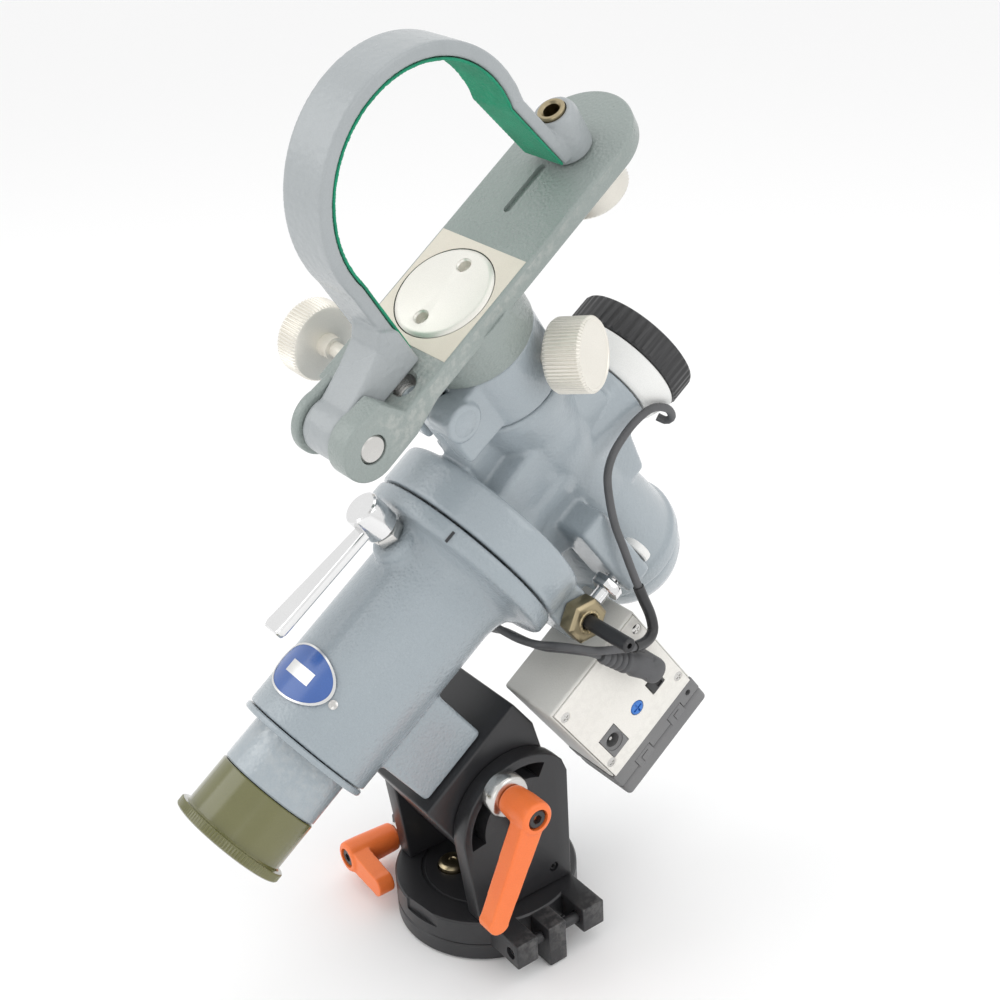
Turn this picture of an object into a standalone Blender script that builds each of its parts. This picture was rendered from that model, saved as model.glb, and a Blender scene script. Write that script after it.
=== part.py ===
"""Small German equatorial telescope mount: alt-azimuth base, polar axis with worm drive, declination axis,
tube saddle with a hinged strap. Metres, +Z up, north along +Y, origin under the middle of the base."""

import math

import bmesh
import bpy
from mathutils import Euler, Matrix, Vector

MM = 0.001
GAP = 0.3
LATITUDE = 35.65
POLAR_HEIGHT = 164.8
HEAD_TURN = 10.7
DEC_STATION = 53.3

BASE_RADIUS = 38.3
LOWER_DISC = 7.2
UPPER_DISC_TOP = 18.8
CHEEK_INNER = 21.5
CHEEK_OUTER = 29.5
TILT_HEIGHT = 58.0
TILT_SLOT_RADIUS = 21.5
TILT_CLAMP_ANGLE = 118.0
FOOT_FACE = 50.5
FOOT_START = -80.3
FOOT_END = -47.2

HOUSING_RADIUS = 26.5
HOUSING_START = -91.6
FLANGE_RADIUS = 41.0
FLANGE_FACE = 1.0
SHAFT_RADIUS = 15.0
SHAFT_BORE = 11.5
TURNTABLE_TOP = 17.5
TONGUE_HALF = 4.5
WORM_STATION = 9.5
WORM_DISTANCE = 37.5
WHEEL_RADIUS = 31.0

DEC_RADIUS = 22.5
DEC_SHAFT_RADIUS = 11.0
RING_BOTTOM = 46.3
RING_TOP = 72.0
RING_RADIUS = 22.0
PLATE_BOTTOM = 88.4
PLATE_TOP = 96.2
PLATE_HALF_WIDTH = 21.4
PLATE_END = 93.3
HINGE_REACH = 58.4
HINGE_HEIGHT = 97.0
TANGENT_REACH = 27.0
TANGENT_HEIGHT = 65.5

STRAP_CENTRE = 13.5
STRAP_HEIGHT = 138.0
STRAP_INNER = 37.0
STRAP_OUTER = 43.0
STRAP_HALF_WIDTH = 9.5
CLAMP_REACH = 67.0
CLAMP_SIDE = -3.0

BOX_FACE = 34.1
BOX_DEPTH = 30.0
BOX_START = -26.3
BOX_END = 26.1
BOX_TOP = 57.1
BOX_BOTTOM = 110.3
BOX_FOOT = 126.8

ADJUSTER = (25, 46.5, 0)
CABLE_RADIUS = 1.6
CABLE_STEP = 7.0
CLAMP_BEARING = 92.5
CLAMP_STATION = -14.6
PLATE_BEARING = 83.0
KNOB_BEARING = 27.0
PLUG_AT = (76.6, 14.1)
PLUG_DEPTH = BOX_FACE + 7.6
PLUG_REACH = 29.0
PLUG_AXIS = (0, -0.925, -0.38)
CABLE_ROUTE = [
    (14.8, 20.0, 90.2), (17.6, 22.4, 91.2), (20.6, 20.4, 92.8), (23.4, 13.0, 91.8), (24.4, 6.0, 86.5),
    (24.8, 3.2, 78.0), (25.6, 2.7, 69.0), (27.4, 2.8, 61.0), (29.6, 5.2, 54.0), (32.0, 11.8, 47.8),
    (34.2, 20.0, 42.6), (35.4, 29.0, 39.4), (36.6, 39.8, 35.6), (38.4, 51.4, 31.6), (39.8, 60.0, 28.8),
    (41.6, 64.6, 25.0), (43.6, 63.2, 19.8), (46.0, 56.8, 14.0), (47.2, 48.2, 7.8), (46.2, 40.6, 1.8),
    (41.0, 36.8, -2.0), (32.0, 36.8, -5.4), (20.0, 41.2, -7.8), (8.0, 43.4, -9.6), (-6.0, 43.8, -10.4),
    (-16.0, 43.8, -11.4), (-25.0, 46.0, -12.4), (-29.0, 51.6, -12.4), (-25.0, 56.0, -11.0), (-16.0, 53.0, -10.0),
    (-6.0, 49.2, -9.0), (8.0, 47.8, -8.0), (18.0, 47.4, -6.2), (28.0, 45.8, -3.2), (36.6, 44.2, -0.8),
    (40.8, 45.2, 1.2),
    (PLUG_DEPTH, PLUG_AT[0] + (PLUG_REACH + 0.9) * PLUG_AXIS[1], PLUG_AT[1] + (PLUG_REACH + 0.9) * PLUG_AXIS[2]),
]
JACK_AT = (95.1, -15.4)
TRIMMER_AT = (93.9, 0.8)
SWITCH_AT = (93.2, 13.2)
ROUNDNESS = 0.78

NAME = "equatorial_mount_head"

PAINT = ((0.42, 0.46, 0.50), 0.35, 0.1)
HAMMER = ((0.38, 0.42, 0.39), 0.45, 0.2)
ALUMINIUM = ((0.85, 0.82, 0.76), 0.3, 1.0)
STEEL = ((0.6, 0.6, 0.6), 0.2, 1.0)
BLACK = ((0.03, 0.03, 0.03), 0.4, 0.5)
BRASS = ((0.75, 0.55, 0.25), 0.3, 1.0)
BRONZE = ((0.5, 0.33, 0.16), 0.4, 1.0)
ORANGE = ((0.95, 0.2, 0.04), 0.4, 0.0)
OLIVE = ((0.15, 0.14, 0.05), 0.25, 0.0)
FELT = ((0.02, 0.3, 0.16), 0.95, 0.0)
GLASS = ((0.7, 0.8, 0.85), 0.05, 0.0)
CREAM = ((0.85, 0.82, 0.74), 0.45, 0.0)
DARK_PLASTIC = ((0.12, 0.12, 0.12), 0.5, 0.0)
BLUE = ((0.05, 0.13, 0.4), 0.35, 0.3)


def clear_scene():
    for item in list(bpy.data.objects):
        bpy.data.objects.remove(item, do_unlink=True)


def make_collection(name, helper):
    collection = bpy.data.collections.new(name)
    bpy.context.scene.collection.children.link(collection)
    collection.hide_render = helper
    return collection


def material_of(look):
    colour, roughness, metallic = look
    name = "look_" + "_".join(f"{value:.2f}" for value in (*colour, roughness, metallic))
    material = bpy.data.materials.get(name)
    if material:
        return material
    material = bpy.data.materials.new(name)
    material.use_nodes = True
    shader = material.node_tree.nodes["Principled BSDF"]
    shader.inputs["Base Color"].default_value = (*colour, 1)
    shader.inputs["Roughness"].default_value = roughness
    shader.inputs["Metallic"].default_value = metallic
    return material


def frame(name, parent, place=(0, 0, 0), turn=None):
    empty = bpy.data.objects.new(name, None)
    PARTS.objects.link(empty)
    empty.parent = parent
    turn = turn or Matrix.Identity(3)
    empty.matrix_basis = Matrix.Translation(Vector(place) * MM) @ turn.to_4x4()
    return empty


def placed(name, mesh, parent, look, place=(0, 0, 0), axis=None, spin=0.0):
    """An object of this mesh in a frame, its own Z turned to an axis. A look of None makes it a cutter."""
    item = bpy.data.objects.new(name, mesh)
    if look is None:
        CUTTERS.objects.link(item)
        item.hide_render = True
        item.display_type = "WIRE"
    else:
        PARTS.objects.link(item)
        mesh.materials.append(material_of(look))
    item.parent = parent
    turn = Matrix.Rotation(math.radians(spin), 4, "Z")
    if axis is not None:
        turn = Vector(axis).to_track_quat("Z", "Y").to_matrix().to_4x4() @ turn
    item.matrix_basis = Matrix.Translation(Vector(place) * MM) @ turn
    return item


def mesh_from(build):
    work = bmesh.new()
    build(work)
    bmesh.ops.recalc_face_normals(work, faces=work.faces)
    mesh = bpy.data.meshes.new("mesh")
    work.to_mesh(mesh)
    work.free()
    return mesh


def turned(name, profile, parent, look, steps=32, **where):
    """A turned piece. Its profile of (radius, height) in mm runs down the outer side; a closed one is a ring."""
    closed = profile[0] == profile[-1]
    points = profile[:-1] if closed else profile

    def build(work):
        made = [work.verts.new((radius * MM, 0, height * MM)) for radius, height in points]
        for first, second in zip(made, made[1:]):
            work.edges.new((first, second))
        if closed:
            work.edges.new((made[-1], made[0]))

    item = placed(name, mesh_from(build), parent, look, **where)
    screw = item.modifiers.new("turn", "SCREW")
    if steps > 8:
        steps = 2 * round(steps * ROUNDNESS / 2)
    screw.steps = steps
    screw.render_steps = steps
    screw.use_merge_vertices = True
    screw.merge_threshold = 0.00001
    screw.use_smooth_shade = True
    return item


def rod(name, radius, low, high, parent, look, steps=32, **where):
    return turned(name, [(0, high), (radius, high), (radius, low), (0, low)], parent, look, steps, **where)


def ring(name, inner, outer, low, high, parent, look, steps=32, **where):
    profile = [(outer, high), (outer, low), (inner, low), (inner, high), (outer, high)]
    return turned(name, profile, parent, look, steps, **where)


def box(name, low, high, parent, look, **where):
    def build(work):
        bmesh.ops.create_cube(work, size=1)
        size = [(b - a) * MM for a, b in zip(low, high)]
        middle = [(a + b) / 2 * MM for a, b in zip(low, high)]
        bmesh.ops.transform(work, matrix=Matrix.Translation(middle) @ Matrix.Diagonal((*size, 1)), verts=work.verts)

    return placed(name, mesh_from(build), parent, look, **where)


def slab(name, outline, low, high, parent, look, **where):
    """A flat piece: an outline in its XY plane, from one height to another."""

    def build(work):
        made = [work.verts.new((x * MM, y * MM, low * MM)) for x, y in outline]
        face = work.faces.new(made)
        grown = bmesh.ops.extrude_face_region(work, geom=[face])
        lifted = [item for item in grown["geom"] if isinstance(item, bmesh.types.BMVert)]
        bmesh.ops.translate(work, verts=lifted, vec=(0, 0, (high - low) * MM))

    return placed(name, mesh_from(build), parent, look, **where)


def arc(centre, radius, start, end, count):
    points = []
    for step in range(count + 1):
        angle = math.radians(start + (end - start) * step / count)
        points.append((centre[0] + radius * math.cos(angle), centre[1] + radius * math.sin(angle)))
    return points


def boolean(item, other, operation):
    change = item.modifiers.new(operation.lower(), "BOOLEAN")
    change.operation = operation
    change.object = other
    change.solver = "EXACT"
    other.hide_render = True


def cut(item, *others):
    for other in others:
        boolean(item, other, "DIFFERENCE")


def join(item, *others):
    for other in others:
        boolean(item, other, "UNION")


def polar_turn():
    return Matrix.Rotation(math.radians(LATITUDE - 90), 3, "X")


def clamp_lever(tag, parent, place, axis, arm, hub_start, hub_length, arm_length):
    """A hand lever: a steel stud with a collar, an orange hub with its arm, and the black screw in its end."""
    lever = turned(
        f"{tag}_lever",
        [(0, hub_start + hub_length), (6.6, hub_start + hub_length), (7.0, hub_start + hub_length - 3),
         (6.2, hub_start), (0, hub_start)],
        parent, ORANGE, 28, place=place, axis=axis,
    )
    along = Vector(arm).normalized()
    out = Vector(axis).normalized()
    side = out.cross(along)
    turn = Matrix((along, side, out)).transposed()
    width = 5.2
    outline = [(0, -6.2), (arm_length - 6, -width), *arc((arm_length - 5, 0), 5.0, -80, 80, 6), (arm_length - 6, width),
               (0, 6.2)]
    low = hub_start + hub_length - 9
    bar = slab(f"{tag}_lever_arm", outline, low, low + 8.6, parent, None)
    bar.matrix_basis = Matrix.Translation(Vector(place) * MM) @ turn.to_4x4()
    join(lever, bar)
    pocket = rod(f"{tag}_lever_pocket", 4.9, hub_start + hub_length - 3, hub_start + hub_length + 5, parent, None, 20,
                 place=place, axis=axis)
    cut(lever, pocket)
    return lever


def base_and_azimuth():
    """The disc on the tripod, and the upper disc that turns on it with its fork, cheeks and clamp."""
    disc = rod("base_disc", BASE_RADIUS, 0, LOWER_DISC, BASE, BLACK, 48)
    join(
        disc,
        box("azimuth_post", (BASE_RADIUS + GAP, -5.0, 0.01), (50.0, 3.6, UPPER_DISC_TOP), BASE, None),
        box("azimuth_post_root", (30, -5.0, 0.01), (BASE_RADIUS + 1, 3.6, LOWER_DISC - 0.01), BASE, None),
    )

    plate = rod("azimuth_plate", BASE_RADIUS, LOWER_DISC + GAP, UPPER_DISC_TOP, AZIMUTH, BLACK, 48)
    low = LOWER_DISC + GAP + 0.01
    join(
        plate,
        box("fork_south", (20, -20.8, low), (50.2, -10.7, UPPER_DISC_TOP - 0.01), AZIMUTH, None),
        box("fork_north", (20, 12.2, low), (50.2, 22.8, UPPER_DISC_TOP - 0.01), AZIMUTH, None),
        box("clamp_lug", (-53, -14, low), (-25, 14, UPPER_DISC_TOP - 0.02), AZIMUTH, None),
    )
    pocket = [(-2, -37.5), (31, -33), (38, -50), (-8, -50)]
    cut(
        plate,
        slab("rim_pocket", pocket, 13.2, 30, AZIMUTH, None),
        box("clamp_split", (-60, -0.8, 0), (-27, 0.8, 30), AZIMUTH, None),
        rod("clamp_bore", 3.4, -20, 20, AZIMUTH, None, 16, place=(-46, 0, 13), axis=(0, 1, 0)),
        rod("fork_bore", 2.6, -40, 40, AZIMUTH, None, 16, place=(45.5, 0, 13), axis=(0, 1, 0)),
        rod("plug_bore", 6.3, 14, 30, AZIMUTH, None, 24, place=(-7, -12, 0)),
    )
    turned("friction_plug", [(0, 21.5), (4.6, 21.5), (6, 20.3), (6, 14.3), (0, 14.3)], AZIMUTH, BRASS, 28,
           place=(-7, -12, 0))
    for tag, inner, outer in (("south", -5.3, -19.6), ("north", 3.9, 21.6)):
        reach = abs(outer - inner)
        outward = (0, math.copysign(1, outer), 0)
        screw = rod(f"azimuth_screw_{tag}", 2.2, 0, reach, AZIMUTH_SCREWS[tag], STEEL, 16, place=(45.5, inner, 13),
                    axis=outward)
        cut(screw, rod(f"azimuth_screw_socket_{tag}", 1.2, reach - 2.5, reach + 3, AZIMUTH_SCREWS[tag], None, 6,
                       place=(45.5, inner, 13), axis=outward))

    stud = rod("azimuth_clamp_stud", 3.0, -12, 24.5, AZIMUTH, STEEL, 20, place=(-46, 0, 13), axis=(0, -1, 0))
    join(stud, ring("azimuth_clamp_collar", 2.5, 5.2, 14 + GAP, 17.5, AZIMUTH, None, 28, place=(-46, 0, 13),
                    axis=(0, -1, 0)))
    lever = clamp_lever("azimuth", AZIMUTH_LEVER, (0, 0, 0), (0, -1, 0), (0.97, 0, -0.1), 17.8, 24, 26)
    cut(lever, rod("azimuth_lever_bore", 3.2, 17, 25, AZIMUTH_LEVER, None, 20, axis=(0, -1, 0)))


def cheek_outline():
    """Side plate in its own plane: X is north, Y is up."""
    centre = (0, TILT_HEIGHT)
    top = arc(centre, 28.2, 52, 180, 16)
    return [(22.8, UPPER_DISC_TOP + GAP), (22.8, 71.0), (20.5, 77.0), *top, (-23.8, UPPER_DISC_TOP + GAP)]


def slot_outline():
    centre = (0, TILT_HEIGHT)
    outer = arc(centre, TILT_SLOT_RADIUS + 3.2, 62, 188, 12)
    inner = arc(centre, TILT_SLOT_RADIUS - 3.2, 188, 62, 12)
    return outer + inner


def in_cheek_plane(item):
    """Turns a slab made in XY so that its X is north, its Y up and its thickness east."""
    item.matrix_basis = Matrix(((0, 0, 1, 0), (1, 0, 0, 0), (0, 1, 0, 0), (0, 0, 0, 1)))
    return item


def altitude():
    """The two cheeks, and the block that tilts between them on its bolt."""
    for tag, low, high in (("east", CHEEK_INNER, CHEEK_OUTER), ("west", -CHEEK_OUTER, -CHEEK_INNER)):
        cheek = in_cheek_plane(slab(f"cheek_{tag}", cheek_outline(), low, high, AZIMUTH, BLACK))
        slot = in_cheek_plane(slab(f"cheek_slot_{tag}", slot_outline(), low - 5, high + 5, AZIMUTH, None))
        hole = rod(f"cheek_hole_{tag}", 4.3, low - 5, high + 5, AZIMUTH, None, 20, place=(0, 0, TILT_HEIGHT),
                   axis=(1, 0, 0))
        cut(cheek, slot, hole) if tag == "east" else cut(cheek, hole)
    bolt = rod("tilt_bolt", 4.0, -CHEEK_OUTER - 1, CHEEK_OUTER + 5.5, AZIMUTH, STEEL, 24, place=(0, 0, TILT_HEIGHT),
               axis=(1, 0, 0))
    join(bolt, rod("tilt_bolt_head", 6.4, CHEEK_OUTER + GAP, CHEEK_OUTER + 6, AZIMUTH, None, 28,
                   place=(0, 0, TILT_HEIGHT), axis=(1, 0, 0)))
    cut(bolt, rod("tilt_bolt_socket", 3.0, CHEEK_OUTER + 3, CHEEK_OUTER + 10, AZIMUTH, None, 6,
                  place=(0, 0, TILT_HEIGHT), axis=(1, 0, 0)))

    pivot_s = -(POLAR_HEIGHT - TILT_HEIGHT) * math.sin(math.radians(LATITUDE))
    pivot_e = (POLAR_HEIGHT - TILT_HEIGHT) * math.cos(math.radians(LATITUDE))
    outline = [(-31, FOOT_FACE + GAP), (-84, FOOT_FACE + GAP), *arc((pivot_s, pivot_e), 25.5, 170, -10, 20), (-31, 66)]
    block = slab("tilt_block", outline, -CHEEK_INNER + GAP, CHEEK_INNER - GAP, POLAR, BLACK)
    block.matrix_basis = Matrix(((0, 0, 1, 0), (0, 1, 0, 0), (1, 0, 0, 0), (0, 0, 0, 1)))
    cut(block, rod("tilt_block_bore", 4.3, -40, 40, POLAR, None, 20, place=(0, pivot_e, pivot_s), axis=(1, 0, 0)))

    angle = math.radians(TILT_CLAMP_ANGLE)
    stud_at = Vector((0, math.cos(angle) * TILT_SLOT_RADIUS, TILT_HEIGHT + math.sin(angle) * TILT_SLOT_RADIUS))
    bore = rod("tilt_stud_bore", 3.3, 8, 40, TILT, None, 16, axis=(1, 0, 0))
    bore.matrix_basis = Matrix.Translation((stud_at - Vector((0, 0, TILT_HEIGHT))) * MM) @ bore.matrix_basis
    cut(block, bore)
    stud = rod("tilt_clamp_stud", 2.9, 12, 46, TILT, STEEL, 20, axis=(1, 0, 0))
    collar = turned("tilt_clamp_collar", [(2.5, 36.5), (8.2, 36.5), (9, 35.5), (9, CHEEK_OUTER + GAP),
                                          (2.5, CHEEK_OUTER + GAP), (2.5, 36.5)], TILT, None, 32, axis=(1, 0, 0))
    for item in (stud, collar):
        item.matrix_basis = Matrix.Translation((stud_at - Vector((0, 0, TILT_HEIGHT))) * MM) @ item.matrix_basis
    join(stud, collar)
    lever = clamp_lever("tilt", TILT_LEVER, (0, 0, 0), (1, 0, 0), (0, -0.44, -0.9), 36.8, 17, 49)
    cut(lever, rod("tilt_lever_bore", 3.1, 36, 47, TILT_LEVER, None, 20, axis=(1, 0, 0)))


def polar_housing():
    """The fixed housing of the polar axis with its foot, flange and clamp boss."""
    profile = [
        (FLANGE_RADIUS, FLANGE_FACE), (FLANGE_RADIUS, -6.0), (33.0, -7.3), (29.0, -9.5), (27.4, -13.5),
        (HOUSING_RADIUS, -19.0), (HOUSING_RADIUS, HOUSING_START), (17.2, HOUSING_START), (17.2, FLANGE_FACE),
        (FLANGE_RADIUS, FLANGE_FACE),
    ]
    housing = turned("polar_housing", profile, POLAR, PAINT, 48)
    join(housing, box("polar_foot", (-18, 18, FOOT_START), (18, FOOT_FACE, FOOT_END), POLAR, None))
    boss_axis = (math.cos(math.radians(CLAMP_BEARING)), -math.sin(math.radians(CLAMP_BEARING)), 0)
    place = (0, 0, CLAMP_STATION)
    join(housing, turned("clamp_boss", [(0, 31), (8.4, 31), (9.8, 29.6), (10.6, 22), (0, 22)], POLAR, None, 28,
                         place=place, axis=boss_axis))
    cut(housing, rod("clamp_bore_radial", 4.0, 10, 60, POLAR, None, 20, place=place, axis=boss_axis))

    nut = rod("ra_clamp_nut", 6.5, 31 + GAP, 35.8, POLAR, STEEL, 6, place=place, axis=boss_axis)
    cut(nut, rod("ra_clamp_nut_bore", 4.2, 20, 50, POLAR, None, 20, place=place, axis=boss_axis))
    bolt = rod("ra_clamp_bolt", 3.7, 19, 44, RA_LEVER, STEEL, 20, axis=boss_axis)
    join(bolt, turned("ra_clamp_head", [(0, 49.5), (6.2, 49.5), (7.0, 48.5), (7.0, 36.6), (0, 36.6)], RA_LEVER, None, 28,
                      axis=boss_axis))
    bar = slab("ra_lever_arm", [(0, -3.0), (53.5, -5.6), (55.5, -4.4), (55.5, 4.4), (53.5, 5.6), (0, 3.0)], 39.0, 43.0,
               RA_LEVER, None)
    along = Vector((0.05 * boss_axis[0], 0.05 * boss_axis[1], -1)).normalized()
    side = Vector(boss_axis).cross(along).normalized()
    bar.matrix_basis = Matrix((along, side, along.cross(side))).transposed().to_4x4()
    join(bolt, bar)
    turned("housing_end_ring", [(26.6, HOUSING_START - GAP), (26.6, -93.6), (25.8, -94.4), (20.8, -94.4),
                                (20.8, HOUSING_START - GAP), (26.6, HOUSING_START - GAP)], POLAR, PAINT, 40)
    ring("eyepiece_sleeve", 16.5, 20.4, -112.2, HOUSING_START - 0.9, POLAR, PAINT, 40)
    wall = 18.8
    top = -112.2 - GAP
    turned("polar_cap", [(20.6, top), (20.6, -131.8), (23.3, -132.4), (23.3, -135.5), (22.0, -136.3), (0, -136.3),
                         (0, -133), (wall, -133), (wall, top), (20.6, top)], POLAR_CAP, OLIVE, 36)
    name_plate()


def name_plate():
    """A thin oval plate bent round the housing."""
    band = ring("name_plate", HOUSING_RADIUS + GAP, HOUSING_RADIUS + 1.1, -90, -55, POLAR, BLUE, 64)
    bearing = math.radians(PLATE_BEARING)
    out = (math.cos(bearing), -math.sin(bearing), 0)
    oval = slab("name_plate_outline", arc((0, 0), 1, 0, 345, 23), 12, 34, POLAR, None, place=(0, 0, -72.5), axis=out)
    stretch = Matrix.Diagonal((15.0, 10.2, 1, 1))
    oval.data.transform(stretch)
    oval.matrix_basis = Matrix.Translation((0, 0, -72.5 * MM)) @ Matrix(
        (Vector((0, 0, 1)).cross(Vector(out)), Vector((0, 0, 1)), Vector(out))
    ).transposed().to_4x4()
    boolean(band, oval, "INTERSECT")


def polar_shaft():
    """What turns inside the housing, and the wheel that the worm climbs round."""
    ring("polar_shaft", SHAFT_BORE, SHAFT_RADIUS, -88, TURNTABLE_TOP - 1.5, HEAD, STEEL, 32)
    for tag, low in (("lower", -86), ("upper", -10)):
        ring(f"polar_bush_{tag}", SHAFT_RADIUS + GAP, 16.9, low, low + 8, POLAR, BRONZE, 24)
    worm_wheel()
    ring("polar_scope_tube", 8.5, 10.9, -104, -20, HEAD, BLACK, 32)
    turned("polar_scope_objective", [(0, -23), (4, -23.4), (8.2, -24.5), (8.2, -28), (0, -28)], HEAD, GLASS, 28)
    turned("polar_scope_eyepiece", [(0, -98), (8.2, -98), (8.2, -101), (4, -102.5), (0, -103)], HEAD, GLASS, 28)


def worm_wheel():
    teeth = 48
    outline = []
    for tooth in range(teeth):
        middle = tooth * 360 / teeth
        for offset, radius in ((-2.2, WHEEL_RADIUS - 0.9), (-0.9, WHEEL_RADIUS + 0.5), (0.9, WHEEL_RADIUS + 0.5),
                               (2.2, WHEEL_RADIUS - 0.9)):
            angle = math.radians(middle + offset)
            outline.append((radius * math.cos(angle), radius * math.sin(angle)))
    wheel = slab("worm_wheel", outline, WORM_STATION - 4, WORM_STATION + 4, POLAR, BRONZE)
    cut(wheel, rod("worm_wheel_bore", SHAFT_RADIUS + GAP, -10, 30, POLAR, None, 40))


def head_casting():
    """The casting that turns about the polar axis: turntable, web, declination barrel and port."""
    head = turned(
        "head_casting",
        [(0, TURNTABLE_TOP + 2), (39.5, TURNTABLE_TOP + 2), (FLANGE_RADIUS, TURNTABLE_TOP - 0.5),
         (FLANGE_RADIUS, FLANGE_FACE + 0.8), (0, FLANGE_FACE + 0.8)], HEAD, PAINT, 44,
    )
    barrel = turned(
        "dec_barrel",
        [(0, RING_BOTTOM - GAP), (DEC_RADIUS, RING_BOTTOM - GAP), (DEC_RADIUS, 40), (20.5, 26), (19.5, 0),
         (20.5, -26), (26.5, -66), (28, -68), (28, -75), (26, -76), (0, -76)], DEC_BASE, None, 36,
    )
    port = turned("port_barrel", [(0, 85.5), (21, 85.5), (19.5, 70), (18, 30), (20, TURNTABLE_TOP - 1.4), (0, TURNTABLE_TOP - 1.4)],
                  HEAD, None, 32)
    web = slab("head_web", [(TURNTABLE_TOP - 1, 25), (40, 28), (DEC_STATION + 22, 28), (78, 12), (78, -12),
                            (DEC_STATION + 22, -34), (40, -34), (TURNTABLE_TOP - 1, -25)], -17.2, 17.2, HEAD, None)
    web.matrix_basis = Matrix(((0, 0, 1, 0), (0, -1, 0, 0), (1, 0, 0, 0), (0, 0, 0, 1)))
    join(head, barrel, port, web)
    join(
        head,
        box("worm_housing", (-20, 26, WORM_STATION - 7.6), (30.2, 48, WORM_STATION + 8.5), HEAD_PLAIN, None),
        box("adjuster_lug", (6, 14, 31), (31, 54, 44), HEAD_PLAIN, None),
        box("tangent_tongue", (-TANGENT_REACH - 5.5, -TONGUE_HALF, 30), (-RING_RADIUS - 0.6, TONGUE_HALF, RING_TOP - 0.6),
            DEC_BASE, None),
        box("tongue_root", (-TANGENT_REACH - 5.5, -TONGUE_HALF - 3, 24), (-18, TONGUE_HALF + 3, RING_BOTTOM - 1.2),
            DEC_BASE, None),
        box("motor_bridge", (-6, 44, WORM_STATION - 4), (24, BOX_TOP - GAP, WORM_STATION + 8), HEAD_PLAIN, None),
    )
    cut(
        head,
        rod("wheel_chamber", WHEEL_RADIUS + 2.4, -5, 14.5, HEAD, None, 32),
        rod("shaft_seat", SHAFT_RADIUS + GAP, -5, TURNTABLE_TOP - 1.2, HEAD, None, 32),
        rod("sight_bore", 11.0, -5, 100, HEAD, None, 32),
        rod("dec_bore", 15.5, -90, 90, DEC_BASE, None, 36),
        rod("worm_bore", 6.6, -16, 60, HEAD_PLAIN, None, 28, place=(0, WORM_DISTANCE, WORM_STATION), axis=(1, 0, 0)),
        rod("adjuster_bore", 3.3, 20, 60, HEAD_PLAIN, None, 16, place=ADJUSTER),
    )


def tangent_drive(arm):
    """The yoke on the clamp ring: its screw and spring plunger push on the barrel's tongue from both sides."""
    at = (-TANGENT_REACH, 0, TANGENT_HEIGHT)
    back = -TANGENT_REACH - 6.5
    join(
        arm,
        rod("plunger_barrel", 7.4, TONGUE_HALF + 2.0, 17.5, TANGENT_ARM, None, 28, place=at, axis=(0, -1, 0)),
        box("plunger_arm", (back, -16, RING_BOTTOM + 1), (-13.5, -TONGUE_HALF - 2.2, RING_TOP - 0.5), TANGENT_ARM, None),
        rod("screw_barrel", 6.6, TONGUE_HALF + 2.0, 40, TANGENT_ARM, None, 28, place=at, axis=(0, 1, 0)),
        box("screw_arm", (back, TONGUE_HALF + 2.2, RING_BOTTOM + 1), (-13.5, 16, RING_TOP - 0.5), TANGENT_ARM, None),
    )
    cut(
        arm,
        box("tongue_gap", (back - 5, -TONGUE_HALF - 1.9, RING_BOTTOM - 5), (-RING_RADIUS - GAP, TONGUE_HALF + 1.9,
                                                                      RING_TOP + 5), TANGENT_ARM, None),
        rod("plunger_bore", 4.3, 0, 15.5, TANGENT_ARM, None, 20, place=at, axis=(0, -1, 0)),
        rod("screw_bore", 3.3, 0, 60, TANGENT_ARM, None, 20, place=at, axis=(0, 1, 0)),
    )
    rod("plunger_pin", 3.9, TONGUE_HALF + 1.0, 10.5, TANGENT_ARM, STEEL, 20, place=at, axis=(0, -1, 0))
    ring("plunger_spring", 2.4, 3.9, 11.7, 15.2, TANGENT_ARM, STEEL, 20, place=at, axis=(0, -1, 0))
    knob = rod("tangent_screw", 2.9, TONGUE_HALF + 1.3, 66, TANGENT_KNOB, STEEL, 20, axis=(0, 1, 0))
    join(knob, turned("tangent_knob_head", [(0, 72.5), (13.5, 72.5), (15.3, 71), (15.3, 62.5), (14, 61), (0, 61)],
                      TANGENT_KNOB, None, 40, axis=(0, 1, 0)))


def declination():
    """The shaft, its bushes, the clamp ring with the tangent arm, and the end cap."""
    shaft = ring("dec_shaft", 6.0, DEC_SHAFT_RADIUS, -70, PLATE_TOP - 5.5, DEC_AXIS, STEEL, 28)
    cut(shaft, rod("dec_shaft_window", 8.0, -30, 30, DEC_AXIS, None, 24, axis=(1, 0, 0)))
    for tag, low in (("lower", -62), ("upper", 32)):
        ring(f"dec_bush_{tag}", DEC_SHAFT_RADIUS + GAP, 15.2, low, low + 10, DEC_BASE, BRONZE, 24)
    turned("dec_end_cap", [(26.2, -76.3), (26.2, -79), (25, -88), (21, -93), (12, -95), (0, -95.5), (0, -91), (19, -88),
                           (20, -76.3), (26.2, -76.3)], DEC_BASE, PAINT, 40)
    arm = ring("dec_clamp_ring", DEC_SHAFT_RADIUS + GAP, RING_RADIUS, RING_BOTTOM, RING_TOP, TANGENT_ARM, PAINT, 44)
    tangent_drive(arm)
    bearing = math.radians(KNOB_BEARING)
    out = (math.sin(bearing), -math.cos(bearing), 0)
    height = (RING_BOTTOM + RING_TOP) / 2
    cut(arm, rod("dec_clamp_bore", 3.3, 9, 40, TANGENT_ARM, None, 20, place=(0, 0, height), axis=out))
    stud = rod("dec_clamp_knob", 3.0, 13.2, 30, DEC_KNOB, STEEL, 20, axis=out)
    join(stud, turned("dec_clamp_head", [(0, 41), (11.8, 41), (13.3, 39.8), (13.3, 28), (12, 26.6), (0, 26.6)], DEC_KNOB,
                      None, 40, axis=out))


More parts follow.
